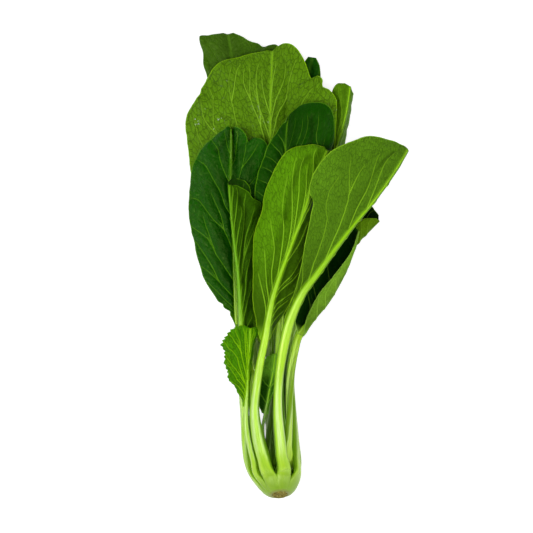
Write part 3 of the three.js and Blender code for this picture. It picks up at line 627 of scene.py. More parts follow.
set_veins("glossy",
    left=[[(21, 0), (28, 22), (37, 48), (44, 62), (49, 95)], [(12, 0), (19, 37), (28, 76), (31, 95)],
        [(6, 0), (13, 55), (24, 95)], [(35, 0), (48, 20), (53, 42), (61, 73), (62, 90)],
        [(48, 20), (56, 26), (65, 44)], [(55, 0), (61, 15), (68, 26), (77, 62), (79, 88)],
        [(72, 0), (80, 24), (87, 50), (90, 90)], [(23, 55), (32, 67), (44, 100)],
        [(37, 48), (46, 57), (54, 66)], [(86, 0), (93, 30), (97, 70)], [(2, 0), (7, 45), (12, 90)]],
    right=[[(62, 0), (71, 28), (79, 34), (85, 55), (92, 98)], [(76, 32), (79, 52), (82, 78)],
        [(56, 0), (62, 30), (68, 91)], [(40, 0), (50, 50), (58, 90)], [(26, 0), (36, 50), (45, 90)],
        [(12, 0), (21, 50), (30, 90)], [(80, 0), (90, 30), (97, 60)]])

# %% Veins of the dark leaf and the broad leaf
set_veins("dark",
    left=[[(72, 0), (79, 20), (82, 46), (85, 83)], [(66, 0), (72, 20), (76, 52), (78, 86)],
        [(59, 0), (65, 20), (70, 53), (72, 86)], [(52, 0), (58, 26), (63, 56), (65, 86)],
        [(80, 0), (86, 19), (90, 62)], [(45, 0), (52, 30), (59, 90)], [(37, 0), (45, 35), (52, 90)],
        [(28, 0), (37, 40), (45, 90)]],
    right=[[(55, 0), (68, 18), (76, 29), (81, 42), (88, 60)], [(68, 0), (78, 19), (82, 29), (88, 46)],
        [(41, 0), (55, 42), (63, 68), (73, 80)], [(78, 0), (86, 16), (92, 34)],
        [(28, 0), (44, 50), (58, 86)], [(68, 76), (76, 62), (84, 74)]])
set_veins("broad",
    left=[[(63, 0), (73, 12), (80, 29), (87, 42), (91, 62)],
        [(53, 0), (64, 22), (71, 40), (77, 54), (86, 76)],
        [(43, 0), (54, 30), (62, 53), (75, 77), (78, 88)], [(77, 54), (82, 57), (89, 72)],
        [(35, 0), (46, 41), (55, 68), (69, 91)], [(78, 0), (84, 12), (91, 26)],
        [(70, 0), (78, 14), (85, 32)], [(66, 60), (69, 76), (74, 92)],
        [(73, 12), (79, 16), (86, 28), (93, 44)], [(80, 29), (84, 46), (88, 58)]],
    right=[[(67, 0), (76, 11), (80, 28), (88, 56), (91, 80)], [(75, 0), (82, 11), (87, 33), (92, 49)],
        [(58, 0), (67, 19), (73, 33), (77, 61), (79, 80)], [(48, 0), (57, 31), (67, 70), (72, 84)],
        [(84, 0), (90, 6), (95, 20)], [(36, 0), (45, 35), (56, 86)]])

# %% Veins of the leaves at the right
set_veins("upper",
    left=[[(55, 0), (71, 14), (82, 20), (92, 45)], [(76, 0), (86, 26), (94, 70)],
        [(35, 0), (52, 30), (70, 55)]],
    right=[[(70, 0), (84, 12), (96, 30)], [(50, 0), (66, 20), (80, 40)]])
set_veins("folded",
    left=[[(20, 0), (33, 37), (45, 80)], [(10, 0), (25, 40), (36, 80)], [(40, 0), (55, 40), (68, 80)]],
    right=[[(28, 0), (38, 60), (45, 76), (58, 90)], [(42, 0), (52, 60), (59, 82), (72, 93)],
        [(15, 0), (26, 60), (36, 90)]])

# %% Even veins for the leaves behind
FIRST_VEIN, LAST_VEIN = 0.03, 0.84     # shares of the midrib between which side veins start


def even_veins(count):
    """Side veins that leave the midrib at even steps and slant towards the tip."""
    starts = FIRST_VEIN + (LAST_VEIN - FIRST_VEIN) * (np.arange(count) + 0.5) / count
    rises = 0.2 * (1.15 - 0.5 * starts)
    return [[(s, 0), (s + 0.4 * r, 0.42), (min(0.99, s + r), 0.88)] for s, r in zip(starts, rises)]


HALVES = [(name, leaf[side]) for name, leaf in LEAVES.items() for side in ("left", "right")]
for name, half in HALVES:
    half.setdefault("veins", even_veins(3 if name == "small" else 8))
print("side veins on all leaves:", sum(len(half["veins"]) for _, half in HALVES))

# %% [markdown]
# ## Creases, teeth and ruffles
# What makes a leaf look picked and carried rather than printed is how it is creased. A crease is given
# like a vein, by its two ends along the blade and out to the rim, with a height and a width: below zero it
# sinks towards the upper side of the leaf. The rim of a young leaf has `teeth` of a depth, as a share of
# the breadth, and a spacing in millimetres. Older rims are torn: `notches` have a place, a depth and a
# width, all as shares. A ruffle is a wave along the rim, with its height and length in millimetres.
# `pillow` is how far the tissue bulges between the veins, `gutter` how dark and wide the painted shade in
# the trough beside the midrib is, and `dim` how much painted shade darkens a half along all its length.
# `clasp` is how far the foot of the stalk spreads round the stem, `swell` how much wider a stalk is, and
# `thinning` how fast the midrib thins.

# %% Creases and rims
def crease(along, out, height, width):
    """A crease from one share of the length and of the breadth to another."""
    return dict(ends=list(zip(along, out)), height=height, width=width)


def shape(name, left=(), right=(), **whole):
    """Add to what is known of a leaf and of its halves."""
    LEAVES[name].update(whole)
    LEAVES[name]["left"].update(left)
    LEAVES[name]["right"].update(right)


front_creases = [crease((0.30, 0.62), (0.28, 0.34), -1.6, 2.6)]
front_creases.append(crease((0.60, 0.90), (0.34, 0.50), -1.6, 3.0))
shape("front", ruffle=(1.2, 20), clasp=0.5, left=dict(creases=front_creases, gutter=(0.8, 9)),
      right=dict(creases=[crease((0.20, 0.60), (0.30, 0.30), -1.2, 2.4)], gutter=(0.9, 5), dim=1.0))
shape("right", ruffle=(1.0, 24), clasp=0.5, pillow=0.4,
      left=dict(creases=[crease((0.54, 0.93), (0.03, 0.46), -1.5, 2.0)]))
shape("toothed", ruffle=(1.3, 9), pillow=0.9, thinning=3.5,
      left=dict(teeth=(0.10, 2.6)), right=dict(teeth=(0.10, 2.6), gutter=(0.6, 5)))
shape("rolled", ruffle=(0.8, 14), pillow=1.0,
      right=dict(creases=[crease((0.42, 0.93), (0.30, 0.55), -2.6, 2.4)], dim=0.9))
glossy_creases = [crease((0.56, 1.0), (0.17, 0.10), 3.4, 2.6)]
glossy_creases.append(crease((0.30, 0.75), (0.45, 0.55), -2.0, 6))
glossy_tears = [(0.075, 0.20, 0.012), (0.12, 0.10, 0.012)]
shape("glossy", ruffle=(1.5, 22), pillow=1.5, right=dict(creases=glossy_creases, gutter=(1.0, 6)),
      left=dict(creases=[crease((0.86, 1.0), (0.5, 0.05), 1.2, 2.5)], notches=glossy_tears))
shape("dark", ruffle=(1.4, 20), pillow=1.2,
      right=dict(creases=[crease((0.55, 0.85), (0.30, 0.60), 1.6, 3.0)], gutter=(0.6, 6)))
shape("upper", ruffle=(1.4, 16))
shape("broad", ruffle=(1.8, 26), pillow=0.4, swell=1.12,
      right=dict(creases=[crease((0.60, 0.92), (0.10, 0.45), -2.0, 3.0)]))
shape("folded", clasp=1.6)
shape("pointed", clasp=1.7)
shape("small", ruffle=(1.2, 7), left=dict(teeth=(0.10, 3.1)), right=dict(teeth=(0.10, 3.1)))
shape("back", ruffle=(1.6, 18))
print("creases:", sum(len(half.get("creases", [])) for _, half in HALVES))

# %% How far a point is from a vein
COURSE_STEPS = 12
FAR = 99.0


def course_of(points, share, length, rim_v):
    """The smooth course of a vein or crease, as places along and across the blade in mm."""
    curve = Line([(s, t, 0) for s, t in points]).at(np.linspace(0, 1, COURSE_STEPS + 1))
    return np.stack([curve[:, 0] * length, curve[:, 1] * np.interp(curve[:, 0], share, rim_v[:, 0])], 1)


def distance_to(course, u, v):
    """How far in mm each place of a half blade is from a course, below zero on its other side, and how far
    along the course that is."""
    nearest = np.full(v.shape, FAR)
    along = np.zeros(v.shape)
    side = np.ones(v.shape)
    for k, (a, b) in enumerate(zip(course[:-1], course[1:])):
        du, dv = b - a
        part = np.clip(((u - a[0]) * du + (v - a[1]) * dv) / max(du * du + dv * dv, 1e-9), 0, 1)
        away = np.hypot(u - a[0] - part * du, v - a[1] - part * dv)
        closer = away < nearest
        along = np.where(closer, (k + part) / COURSE_STEPS, along)
        side = np.where(closer, np.sign((v - a[1]) * du - (u - a[0]) * dv), side)
        nearest = np.where(closer, away, nearest)
    return nearest * side, along


def side_veins(half, share, length, rim_v, u, v):
    """The signed distance in mm from each place of a half blade to a side vein, and how strong that is."""
    nearest = np.full(v.shape, FAR)
    strength = np.zeros(v.shape)
    for points in half["veins"]:
        away, along = distance_to(course_of(points, share, length, rim_v), u, v)
        closer = np.abs(away) < np.abs(nearest)
        strength = np.where(closer, 1 - 0.6 * along, strength)
        nearest = np.where(closer, away, nearest)
    return nearest, strength * smoothstep(2.6, 1.5, np.abs(nearest))


# %% [markdown]
# ## Relief of a blade
# Side veins stand out as ridges on the underside. The tissue between them is pushed the other way into
# soft pillows, deepest beside the midrib, so the upper side looks quilted. Near the midrib the sheet
# climbs to its side, so that both look grown together. All of this is a height along the sheet's own
# normal. Masks with the same shapes are kept on the mesh for the colours: `hollow` is how deep a place
# lies between veins, in the trough beside the midrib or in a crease, and the green is darkened there as
# painted shade.

# %% Relief
VEIN_RISE, VEIN_WIDTH = 0.4, 0.6       # mm
CUSHION_REACH = 3.0    # mm from a vein to the top of a pillow
HOLLOW_REACH = 2.0     # mm from a vein to where the tissue looks deep
BUMPS, BUMP_SIZE = 0.30, 8             # small unevenness all over, mm
ABOVE_TABLE = 0.4      # mm, the middle of a sheet stays this high


def sheet_normals(grid):
    return unit(np.cross(np.gradient(grid, axis=1), np.gradient(grid, axis=0)))


def half_relief(leaf, sheet, share, length, sizes):
    """The height of one half of a blade above its smooth sheet, with the masks for the colours."""
    half, way, seed = sheet["half"], sheet["way"], sheet["seed"]
    steps = np.linalg.norm(np.diff(sheet["points"], axis=1), axis=-1)
    v = np.concatenate([np.zeros((len(share), 1)), np.cumsum(steps, 1)], 1)
    u = np.broadcast_to((share * length)[:, None], v.shape)
    rim_v = np.maximum(v[:, -1:], 0.1)
    from_vein, near_vein = side_veins(half, share, length, rim_v, u, v)
    away = np.abs(from_vein)
    width, thick = sizes[:, :1], sizes[:, 1:]
    off_rib = np.maximum(v - width * 0.42, 0)
    nearest = np.minimum(away, off_rib)
    inner = hump(off_rib, 0.42 * rim_v + 2)
    height = VEIN_RISE * (near_vein * hump(away, VEIN_WIDTH)) * smoothstep(0, 3, rim_v)
    height -= leaf.get("pillow", 0.65) * (1 - hump(nearest, CUSHION_REACH)) * (0.55 + 0.9 * inner)
    height += BUMPS * unevenness(u, v * way, BUMP_SIZE, seed + 50) * smoothstep(0, 3, off_rib)
    height += (0.3 * thick) * hump(off_rib, 0.25 * width + 0.5)
    depth, reach = half.get("gutter", (0, 1))
    # painted shade: this mask darkens the dips between veins, the trough beside the midrib and the creases
    hollow = np.maximum((1 - hump(nearest, HOLLOW_REACH)) * inner, depth * hump(off_rib, reach))
    for fold in half.get("creases", []):
        from_crease = distance_to(course_of(fold["ends"], share, length, rim_v), u, v)[0]
        dent = hump(from_crease, fold["width"])
        height += fold["height"] * dent
        hollow = np.maximum(hollow, dent)
    size, wave = leaf.get("ruffle", (1.2, 24))
    ruffle = unevenness(u, 0.25 * v * way, wave, seed + 90)
    height += size * ruffle * smoothstep(0.4, 1, v / rim_v) ** 1.5 * smoothstep(0, 12, rim_v)
    height *= smoothstep(-0.02, 0.05, share)[:, None]
    # painted shade: the low mask darkens the lower end of the blade, and with dim a whole half, as shade
    by_row = dict(low=np.maximum(smoothstep(0.5, 0.12, share), half.get("dim", 0)),
                  neck=smoothstep(0.09, 0.0, share), tip=smoothstep(0.5, 0.75, share))
    masks = {key: np.broadcast_to(row[:, None], v.shape) for key, row in by_row.items()}
    masks |= dict(from_vein=from_vein, near_vein=near_vein, off_rib=off_rib, to_rim=v[:, -1:] - v)
    return dict(**masks, hollow=hollow, u=u, v=v * way, height=height)


def shaped_blade(leaf):
    """The finished middle sheet of a blade and its masks, each as a grid."""
    b = blade_grid(leaf)
    left, right = b["halves"]
    masks = [half_relief(leaf, sheet, b["share"], b["length"], b["sizes"]) for sheet in (left, right)]
    grid = np.concatenate([left["points"][:, ::-1], right["points"][:, 1:]], axis=1)
    masks = {k: np.concatenate([m[:, ::-1], masks[1][k][:, 1:]], axis=1) for k, m in masks[0].items()}
    grid = grid + sheet_normals(grid) * (masks.pop("height") * b["to_under"])[..., None]
    grid[..., 2] = np.maximum(grid[..., 2], ABOVE_TABLE)
    return grid, masks


# %% A mesh from a sheet
HALF_APART = 17.0      # keeps the patterns of the two halves of a blade from being mirror images
LEAF_APART = 40.0      # the same for the leaves


def make_object(name, points, faces, attributes, material, replaces):
    """A smooth mesh object in the model's frame that rides on the head and stands for a solid."""
    mesh = bpy.data.meshes.new(name)
    mesh.from_pydata(to_model(points).tolist(), [], faces)
    mesh.polygons.foreach_set("use_smooth", [True] * len(mesh.polygons))
    for key, values in attributes.items():
        kind, field = ("FLOAT_VECTOR", "vector") if np.ndim(values) == 2 else ("FLOAT", "value")
        made = mesh.attributes.new(key, kind, "POINT")
        made.data.foreach_set(field, np.ravel(values).astype(np.float32))
    mesh.update()
    mesh.materials.append(material)
    thing = add_object(name, mesh)
    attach(thing, "root")
    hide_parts(replaces)
    return thing


def sheet_faces(rows, columns):
    """The faces of a closed sheet: its front, its back and the narrow band round its rim."""
    cell = np.arange(rows * columns).reshape(rows, columns)
    a = cell[:-1, :-1].ravel()
    back = rows * columns
    front = np.stack([a, a + 1, a + columns + 1, a + columns], 1)
    loop = np.concatenate([cell[0], cell[1:, -1], cell[-1, -2::-1], cell[-2:0:-1, 0]])
    after = np.roll(loop, -1)
    band = np.stack([after, loop, back + loop, back + after], 1)
    return np.concatenate([front, front[:, ::-1] + back, band]).tolist()


def make_blade(name, leaf, material):
    """The blade of one leaf as a closed thin sheet."""
    grid, masks = shaped_blade(leaf)
    rows, columns = grid.shape[:2]
    thick = 0.25 + 0.35 * hump(masks["v"], 12)
    offset = sheet_normals(grid) * (thick / 2)[..., None]
    points = np.concatenate([(grid + offset).reshape(-1, 3), (grid - offset).reshape(-1, 3)])
    attributes = {key: np.tile(mask.ravel(), 2) for key, mask in masks.items()}
    u, v = attributes.pop("u"), attributes.pop("v")
    layer = LEAF_APART * leaf["number"] + HALF_APART * (v > 0)
    attributes["under"] = np.repeat([1.0, 0.0] if leaf["under"] else [0.0, 1.0], rows * columns)
    attributes["place"] = np.stack([u, v, layer], 1)
    faces = sheet_faces(rows, columns)
    return make_object(f"{name}_blade", points, faces, attributes, material, f"{name}_leaf_blade")


# %% [markdown]
# ## The stalk
# The stalk's back, the leaf's underside, is round with a few soft ridges, and its inner side is nearly
# flat with a shallow channel. The foot isn't round at all: it is a broad crescent that hugs the stem, cut
# off flush with it. The tube's own section is therefore bent round the stem at the foot, and let go of
# over the next two centimetres.

# %% The outline of a stalk
RING_STEP = 1.5
RING_SIDES = 36
RING_ANGLES = 2 * math.pi * np.arange(RING_SIDES) / RING_SIDES
FIRST_RINGS = [0, 0.4, 0.9]            # mm from the cut, close together where the end is rounded
CUT_HEIGHT = -6.6      # where the knife went through, along the stem
FOOT_HOLD = (5, 24)    # over this run from the cut, the section lets go of the stem
CUT_RADIUS = 5.2       # the knife's cut is only this wide, because the feet curl in under it
CURL = 7.5             # the height over which they curl in
CUT_RIM = 0.001        # the share of that height at which they are cut, so that a thin crescent is left
INNER_ROOT = (3.5, 1)  # an inner stalk starts inside the stem, at this radius and height


def stalk_outline(leaf, run, share, start, sizes):
    """Offsets of each ring's points from the line: across, and out of the stalk's back, in mm."""
    side, deep = np.cos(RING_ANGLES), np.sin(RING_ANGLES)
    spread = 1 + leaf.get("clasp", 0.35) * hump(run, 16)
    width, thick = (sizes[:, 0] * spread)[:, None], sizes[:, 1:]
    in_blade = smoothstep(start * 0.93, start * 1.02, share)[:, None]
    at_foot = hump(run, 9)[:, None]
    back = UNDER_SHARE * thick * np.abs(deep) ** 0.85
    front = thick * np.abs(deep) * (0.38 * (1 - in_blade) + 0.16 * in_blade + 0.5 * at_foot)
    channel = 0.22 * thick * hump(side, 0.45) * (1 - 0.6 * in_blade) * (1 - at_foot)
    out = np.where(deep > 0, back, channel * (deep < 0) - front)
    lean = 0.6 * unevenness(run[:, None], 0 * side, 70, leaf["around"] + 3)
    ridges = 0.060 * np.cos(5 * RING_ANGLES + lean) + 0.026 * np.cos(13 * RING_ANGLES + 2 * lean)
    ridges = ridges * smoothstep(2.5, 6, width) * smoothstep(-0.3, 0.3, deep)
    knobs = 0.1 * unevenness(run[:, None], 6 * side, 30, leaf["around"]) * smoothstep(3, 6, width)
    out = out * (1 + ridges) + knobs
    across = side * width / 2 * (1 + 0.4 * ridges) * leaf.get("swell", 1.0)
    rounded = 1 - 0.14 * hump(run, 0.35)[:, None]
    return across * rounded, out * rounded, smoothstep(-0.06, 0.08, ridges)


def bent_round_stem(leaf, at, left, across, out):
    """The rings of a stalk, bent so that they follow the outside of the stem."""
    from_centre = at - CROWN_CENTRE
    height = from_centre @ CROWN_LEAN
    radius = np.linalg.norm(from_centre - height[:, None] * CROWN_LEAN, axis=1)
    way = np.sign(left[0] @ (stem_side(leaf["around"] + 1) - stem_side(leaf["around"])))
    points = np.zeros((*across.shape, 3))
    for i, j in np.ndindex(across.shape):
        turn = math.degrees(way * across[i, j] / max(radius[i], 4.0))
        above_cut = min(max((height[i] - CUT_HEIGHT) / CURL, CUT_RIM), 1)
        curl = math.sqrt(1 - (1 - above_cut) ** 2)
        place = (CUT_RADIUS + (radius[i] + out[i, j] - CUT_RADIUS) * curl, height[i])
        points[i, j] = around_stem(leaf["around"] + turn, place)
    return points


# %% A mesh for a stalk
def end_cap(first, sides):
    """Faces that close a ring of points, as strips from one side to the other."""
    strips = [(0, 1, sides - 1)]
    strips += [(k, k + 1, sides - k - 1, sides - k) for k in range(1, sides // 2 - 1)]
    strips.append((sides // 2 - 1, sides // 2, sides // 2 + 1))
    return [[first + k for k in strip] for strip in strips]


def tube_faces(rings, sides):
    """The faces of a tube of rings, closed at both ends."""
    r, s = np.meshgrid(np.arange(rings - 1), np.arange(sides), indexing="ij")
    a, b = r * sides + s, r * sides + (s + 1) % sides
    wall = np.stack([a, b, b + sides, a + sides], -1).reshape(-1, 4).tolist()
    return [*wall, *(f[::-1] for f in end_cap(0, sides)), *end_cap((rings - 1) * sides, sides)]


def make_stalk(name, leaf, material):
    """The stalk and midrib of one leaf: a ridged tube, flat on one side, with a clasping foot."""
    line, start = leaf_line(leaf)
    to_under = 1 if leaf["under"] else -1
    turn = (90 if leaf["under"] else 270) - leaf["around"]
    foot_roll = math.radians((turn + 180) % 360 - 180)
    share = np.concatenate([FIRST_RINGS, np.arange(RING_STEP, line.length, RING_STEP)]) / line.length
    run = share * line.length
    at, left, top = frame_at(line, share, foot_roll * (1 - smoothstep(0, start, share)))
    across, out, crest = stalk_outline(leaf, run, share, start, section_at(leaf, share, start))
    points = at[:, None] + left[:, None] * across[..., None] + top[:, None] * (out * to_under)[..., None]
    held = slice(int(np.searchsorted(run, FOOT_HOLD[1])))
    let_go = smoothstep(*FOOT_HOLD, run[held])[:, None, None]
    is_inner = leaf["whorl"] == "inner"
    root = INNER_ROOT if is_inner else (WHORLS[leaf["whorl"]][0][0], CUT_HEIGHT)
    to_root = around_stem(leaf["around"], root) - at[0]
    middle = at[held] + to_root * hump(run[held, None], 3)
    bent = bent_round_stem(leaf, middle, left, across[held], out[held])
    points[held] = bent * (1 - let_go) + points[held] * let_go
    points = points.reshape(-1, 3)
    points[:, 2] = np.maximum(points[:, 2], 0.05)
    faces = tube_faces(len(share), RING_SIDES)
    if not leaf["under"]:
        faces = [f[::-1] for f in faces]
    by_ring = dict(
        blade=smoothstep(start * 0.9, start + 0.35 * (1 - start), share),
        foot=1 - smoothstep(4, 46, run),
        base=1 - smoothstep(1, 15, run),
        belly=smoothstep(14, 40, run) * (1 - smoothstep(56, 92, run)),
        cut=smoothstep(0.8, 0.1, run) * (not is_inner),
    )
    round_ring = dict(
        back=smoothstep(-0.5, 0.35, np.sin(RING_ANGLES)),
        edge=smoothstep(0.62, 0.98, np.abs(np.cos(RING_ANGLES))),
        girth=RING_ANGLES * 4,
    )
    attributes = {key: np.repeat(values, RING_SIDES) for key, values in by_ring.items()}
    attributes |= {key: np.tile(values, len(share)) for key, values in round_ring.items()}
    along = np.repeat(run, RING_SIDES)
    layer = np.full(len(along), LEAF_APART * leaf["number"])
    attributes |= dict(crest=crest.ravel(), place=np.stack([along, attributes.pop("girth"), layer], 1))
    return make_object(f"{name}_stalk", points, faces, attributes, material, f"{name}_leaf_stalk")


# %% [markdown]
# ## Effects that several finishes share
# Some small patterns come back in several materials, so each is a node group with named inputs. The vein
# network is the mesh of fine veins between the side veins: cells of a Voronoi texture, bent by noise so
# that they look grown, and drawn out along the side veins. The mottle is a slow change of tone. The fibres
# are the fine lines along a stalk. The drops are beads of water, on one leaf only. All of them read the
# place on the leaf in millimetres, which the meshes carry, so they follow every curl of the sheet.

# %% Patterns
def vector_maths(nodes, operation, first, second):
    """A sum on two vectors, or on a vector and the number that scales it."""
    slot = 3 if operation == "SCALE" else 1
    return nodes.add("VectorMath", {0: first, slot: second}, operation=operation).outputs[0]


def joined(nodes, *parts):
    """A vector made of three numbers."""
    return nodes.add("CombineXYZ", dict(enumerate(parts))).outputs[0]


def noise(nodes, place, scale, detail=2.0):
    """Soft random clouds."""
    return nodes.add("TexNoise", {"Vector": place, "Scale": scale, "Detail": detail}).outputs


def cells(nodes, place, scale, feature):
    """The distance to the edges or the middles of random cells, as the feature says."""
    node = nodes.add("TexVoronoi", {"Vector": place, "Scale": scale}, feature=feature)
    return node.outputs["Distance"]


def new_group(name, outputs, **inputs):
    """A node group that reads a place and some numbers, each with a default, and puts out numbers."""
    tree = bpy.data.node_groups.new(name, "ShaderNodeTree")
    tree.interface.new_socket("Place", in_out="INPUT", socket_type="NodeSocketVector")
    for label, default in inputs.items():
        socket = tree.interface.new_socket(label, in_out="INPUT", socket_type="NodeSocketFloat")
        socket.default_value = default
    for label in outputs:
        tree.interface.new_socket(label, in_out="OUTPUT", socket_type="NodeSocketFloat")
    return Nodes(tree), tree.nodes.new("NodeGroupInput").outputs, tree.nodes.new("NodeGroupOutput")


# %% The vein network
SLANT = math.radians(38)    # the way of the side veins, away from the midrib
masks = ["Coarse", "Fine", "Pillow"]
network, given, result = new_group("vein network", masks, Cell=5.0, Bend=3.0, Draw=1.0)
ahead, aside, layer = network.split(given["Place"])
aside = network.maths("ABSOLUTE", aside)
forward = network.maths("MULTIPLY", ahead, math.cos(SLANT))
along_vein = network.maths("MULTIPLY_ADD", aside, math.sin(SLANT), forward)
sideways = network.maths("MULTIPLY", ahead, -math.sin(SLANT))
off_vein = network.maths("MULTIPLY_ADD", aside, math.cos(SLANT), sideways)
drawn = joined(network, network.maths("DIVIDE", along_vein, given["Draw"]), off_vein, layer)
wander = vector_maths(network, "SUBTRACT", noise(network, given["Place"], 0.16)["Color"], (0.5, 0.5, 0.5))
bent = vector_maths(network, "ADD", drawn, vector_maths(network, "SCALE", wander, given["Bend"]))
for label, finer, width in (("Coarse", 1.0, 0.11), ("Fine", 2.6, 0.14)):
    edge = cells(network, bent, network.maths("DIVIDE", finer, given["Cell"]), "DISTANCE_TO_EDGE")
    feed(result, {label: network.between(edge, width, 0.0)})
    if label == "Coarse":
        feed(result, {"Pillow": network.between(edge, 0.0, 0.35)})
print("group:", network.tree.name)

# %% Mottle and fibres
mottle, given, result = new_group("mottle", ["Mask"], Size=14.0)
cloud = noise(mottle, given["Place"], mottle.maths("DIVIDE", 1.0, given["Size"]), detail=3.0)["Fac"]
feed(result, {"Mask": mottle.between(cloud, 0.32, 0.68)})

fibres, given, result = new_group("fibres", ["Mask"], Width=1.2, Length=60.0)
along, girth, layer = fibres.split(given["Place"])
along = fibres.maths("DIVIDE", along, given["Length"])
squeezed = joined(fibres, along, fibres.maths("DIVIDE", girth, given["Width"]), layer)
grain = noise(fibres, squeezed, 1.0, detail=3.0)["Fac"]
feed(result, {"Mask": fibres.between(grain, 0.3, 0.7)})
print("groups:", mottle.tree.name, "and", fibres.tree.name)

# %% Drops of water
drops, given, result = new_group("drops", ["Mask"], Spacing=4.0, Amount=0.5)
bead = cells(drops, given["Place"], drops.maths("DIVIDE", 1.0, given["Spacing"]), "F1")
dry = drops.maths("SUBTRACT", 1.0, given["Amount"])
patch = noise(drops, given["Place"], 0.06)["Fac"]
wet = drops.between(patch, dry, drops.maths("ADD", dry, 0.2))
size = drops.maths("MULTIPLY", wet, 0.3)
feed(result, {"Mask": drops.between(bead, size, drops.maths("MULTIPLY", size, 0.55))})
print("group:", drops.tree.name)

# %% [markdown]
# ## The finish of a blade
# The two sides of a leaf look different. The upper side is darker and glossy, because it has a smooth waxy
# skin, and its veins are grooves. The underside is paler and matt, and its veins are raised, light lines.
# One material does both, because the mesh knows which of its sides is the underside. Deep between the
# veins, in creases, in a band beside each vein and on the lower end of the blade the green is darkened as
# painted shade, and the rim is a thin light line, as light shines through the cut edge of the leaf.

# %% Colours in layers
def colour(red, green, blue):
    """A colour in the usual 0 to 255 steps, as the linear values that shaders use."""
    parts = [c / 255 for c in (red, green, blue)]
    linear = [c / 12.92 if c <= 0.04045 else ((c + 0.055) / 1.055) ** 2.4 for c in parts]
    return (*linear, 1.0)


def tinted(base, factor):
    """A colour made darker or lighter."""
    return (*(min(1.0, c * factor) for c in base[:3]), 1.0)


def over(nodes, below, above, mask, amount=1.0):
    """Lay a colour over what is below it, as far as the mask and the amount say."""
    if amount != 1.0:
        mask = nodes.maths("MULTIPLY", mask, amount)
    return nodes.add("Mix", {0: mask, 6: below, 7: above}, data_type="RGBA").outputs[2]


# %% What a finish reads
def mesh_value(nodes, name):
    """A value that the mesh carries."""
    return nodes.add("Attribute", {}, attribute_name=name).outputs["Fac"]


def mesh_place(nodes):
    """The place on the leaf, in mm along and across it, with a number that tells the leaves apart."""
    return nodes.add("Attribute", {}, attribute_name="place").outputs["Vector"]


def use(nodes, group, **values):
    """A shared effect with its own values."""
    return nodes.add("Group", values, node_tree=group.tree).outputs


def add_bump(nodes, shader, height, strength, distance):
    """Let a height, for relief finer than the mesh, tilt the surface. Distance is in metres."""
    bump = nodes.add("Bump", {"Height": height, "Strength": strength, "Distance": distance})
    feed(shader, {"Normal": bump.outputs["Normal"]})


# %% Blade finish
VEIN_CORE, VEIN_EDGE, SHADE_EDGE = 0.12, 0.5, 1.9    # mm to where a vein fades, it ends, its shade ends
BLADE_TINT = (0.7, 1.0, 0.25, 1)    # the tone of the light that a blade throws back
STALK_TINT = (0.9, 1.0, 0.5, 1)


def blade_finish(name, colours, cell=5.0, draw=1.0, lines=0.5, gloss=0.38, matt=0.55, shine=0.12, deep=0.55,
                 shade=0.4, wet=0.0, pale_tip=0.0, pale_groove=0.4):
    """A leaf blade. The colours are those of the two sides, of the raised veins and of the rim."""
    material, nodes, shader = new_finish(name)
    under, upper, vein, rim = (colour(*c) for c in colours)
    place, side = mesh_place(nodes), mesh_value(nodes, "under")
    fine_veins = use(nodes, network, Place=place, Cell=cell, Bend=3.0, Draw=draw)
    slow, quick = (use(nodes, mottle, Place=place, Size=size)["Mask"] for size in (18.0, 2.6))
    from_vein = nodes.maths("ABSOLUTE", mesh_value(nodes, "from_vein"))
    near_vein = mesh_value(nodes, "near_vein")
    line = nodes.maths("MULTIPLY", nodes.between(from_vein, VEIN_EDGE, VEIN_CORE), near_vein)
    # painted shadow: a dark band beside each vein
    outline = nodes.maths("MULTIPLY", nodes.between(from_vein, SHADE_EDGE, VEIN_EDGE), near_vein)
    rib = nodes.between(mesh_value(nodes, "off_rib"), 1.3, 0.2)
    edge = nodes.between(mesh_value(nodes, "to_rim"), 0.9, 0.35)
    darker = (    # where the tissue is darker, how much, and down to what share of its tone
        (quick, 0.36, 0.6),
        (fine_veins["Coarse"], lines, 0.42),
        (fine_veins["Fine"], 0.5 * lines, 0.6),
        # painted shade in the hollows between veins, in the trough beside the midrib and in the creases
        (mesh_value(nodes, "hollow"), deep, 0.4),
        # painted shadow beside the veins
        (outline, 0.45, 0.45),
        # painted shade on the lower end of the blade, and on a whole half where it lies in shade
        (mesh_value(nodes, "low"), shade, 0.32),
    )

    def tissue(base):
        tone = over(nodes, base, tinted(base, 1.25), slow, 0.5)
        for mask, amount, factor in darker:
            tone = over(nodes, tone, tinted(base, factor), mask, amount)
        return tone

    skin = over(nodes, tissue(upper), tissue(under), side)
    groove = tuple((1 - pale_groove) * a + pale_groove * b for a, b in zip(upper, vein))
    vein_tone = over(nodes, groove, vein, side)
    skin = over(nodes, skin, vein_tone, line, 0.95)
    skin = over(nodes, skin, vein_tone, rib, 0.4)
    skin = over(nodes, skin, vein, mesh_value(nodes, "neck"), 0.8)
    skin = over(nodes, skin, tinted(vein, 1.3), mesh_value(nodes, "tip"), pale_tip)
    skin = over(nodes, skin, rim, edge, 0.9)

    rough = nodes.maths("MULTIPLY_ADD", side, matt - gloss, gloss)
    rough = nodes.maths("MULTIPLY_ADD", fine_veins["Coarse"], 0.1, rough)
    rough = nodes.maths("MULTIPLY_ADD", slow, -0.06, rough)
    feed(shader, {"Base Color": skin, "Roughness": rough})
    feed(shader, {"Specular IOR Level": shine, "Specular Tint": BLADE_TINT})
    height = nodes.maths("MULTIPLY_ADD", fine_veins["Fine"], -0.35, fine_veins["Pillow"])
    if wet:
        bead = use(nodes, drops, Place=place, Spacing=2.3, Amount=wet)["Mask"]
        height = nodes.maths("MULTIPLY_ADD", bead, 1.6, height)
        feed(shader, {"Coat Weight": bead, "Coat Roughness": 0.08})
    add_bump(nodes, shader, height, 0.6, 0.0005)
    return material


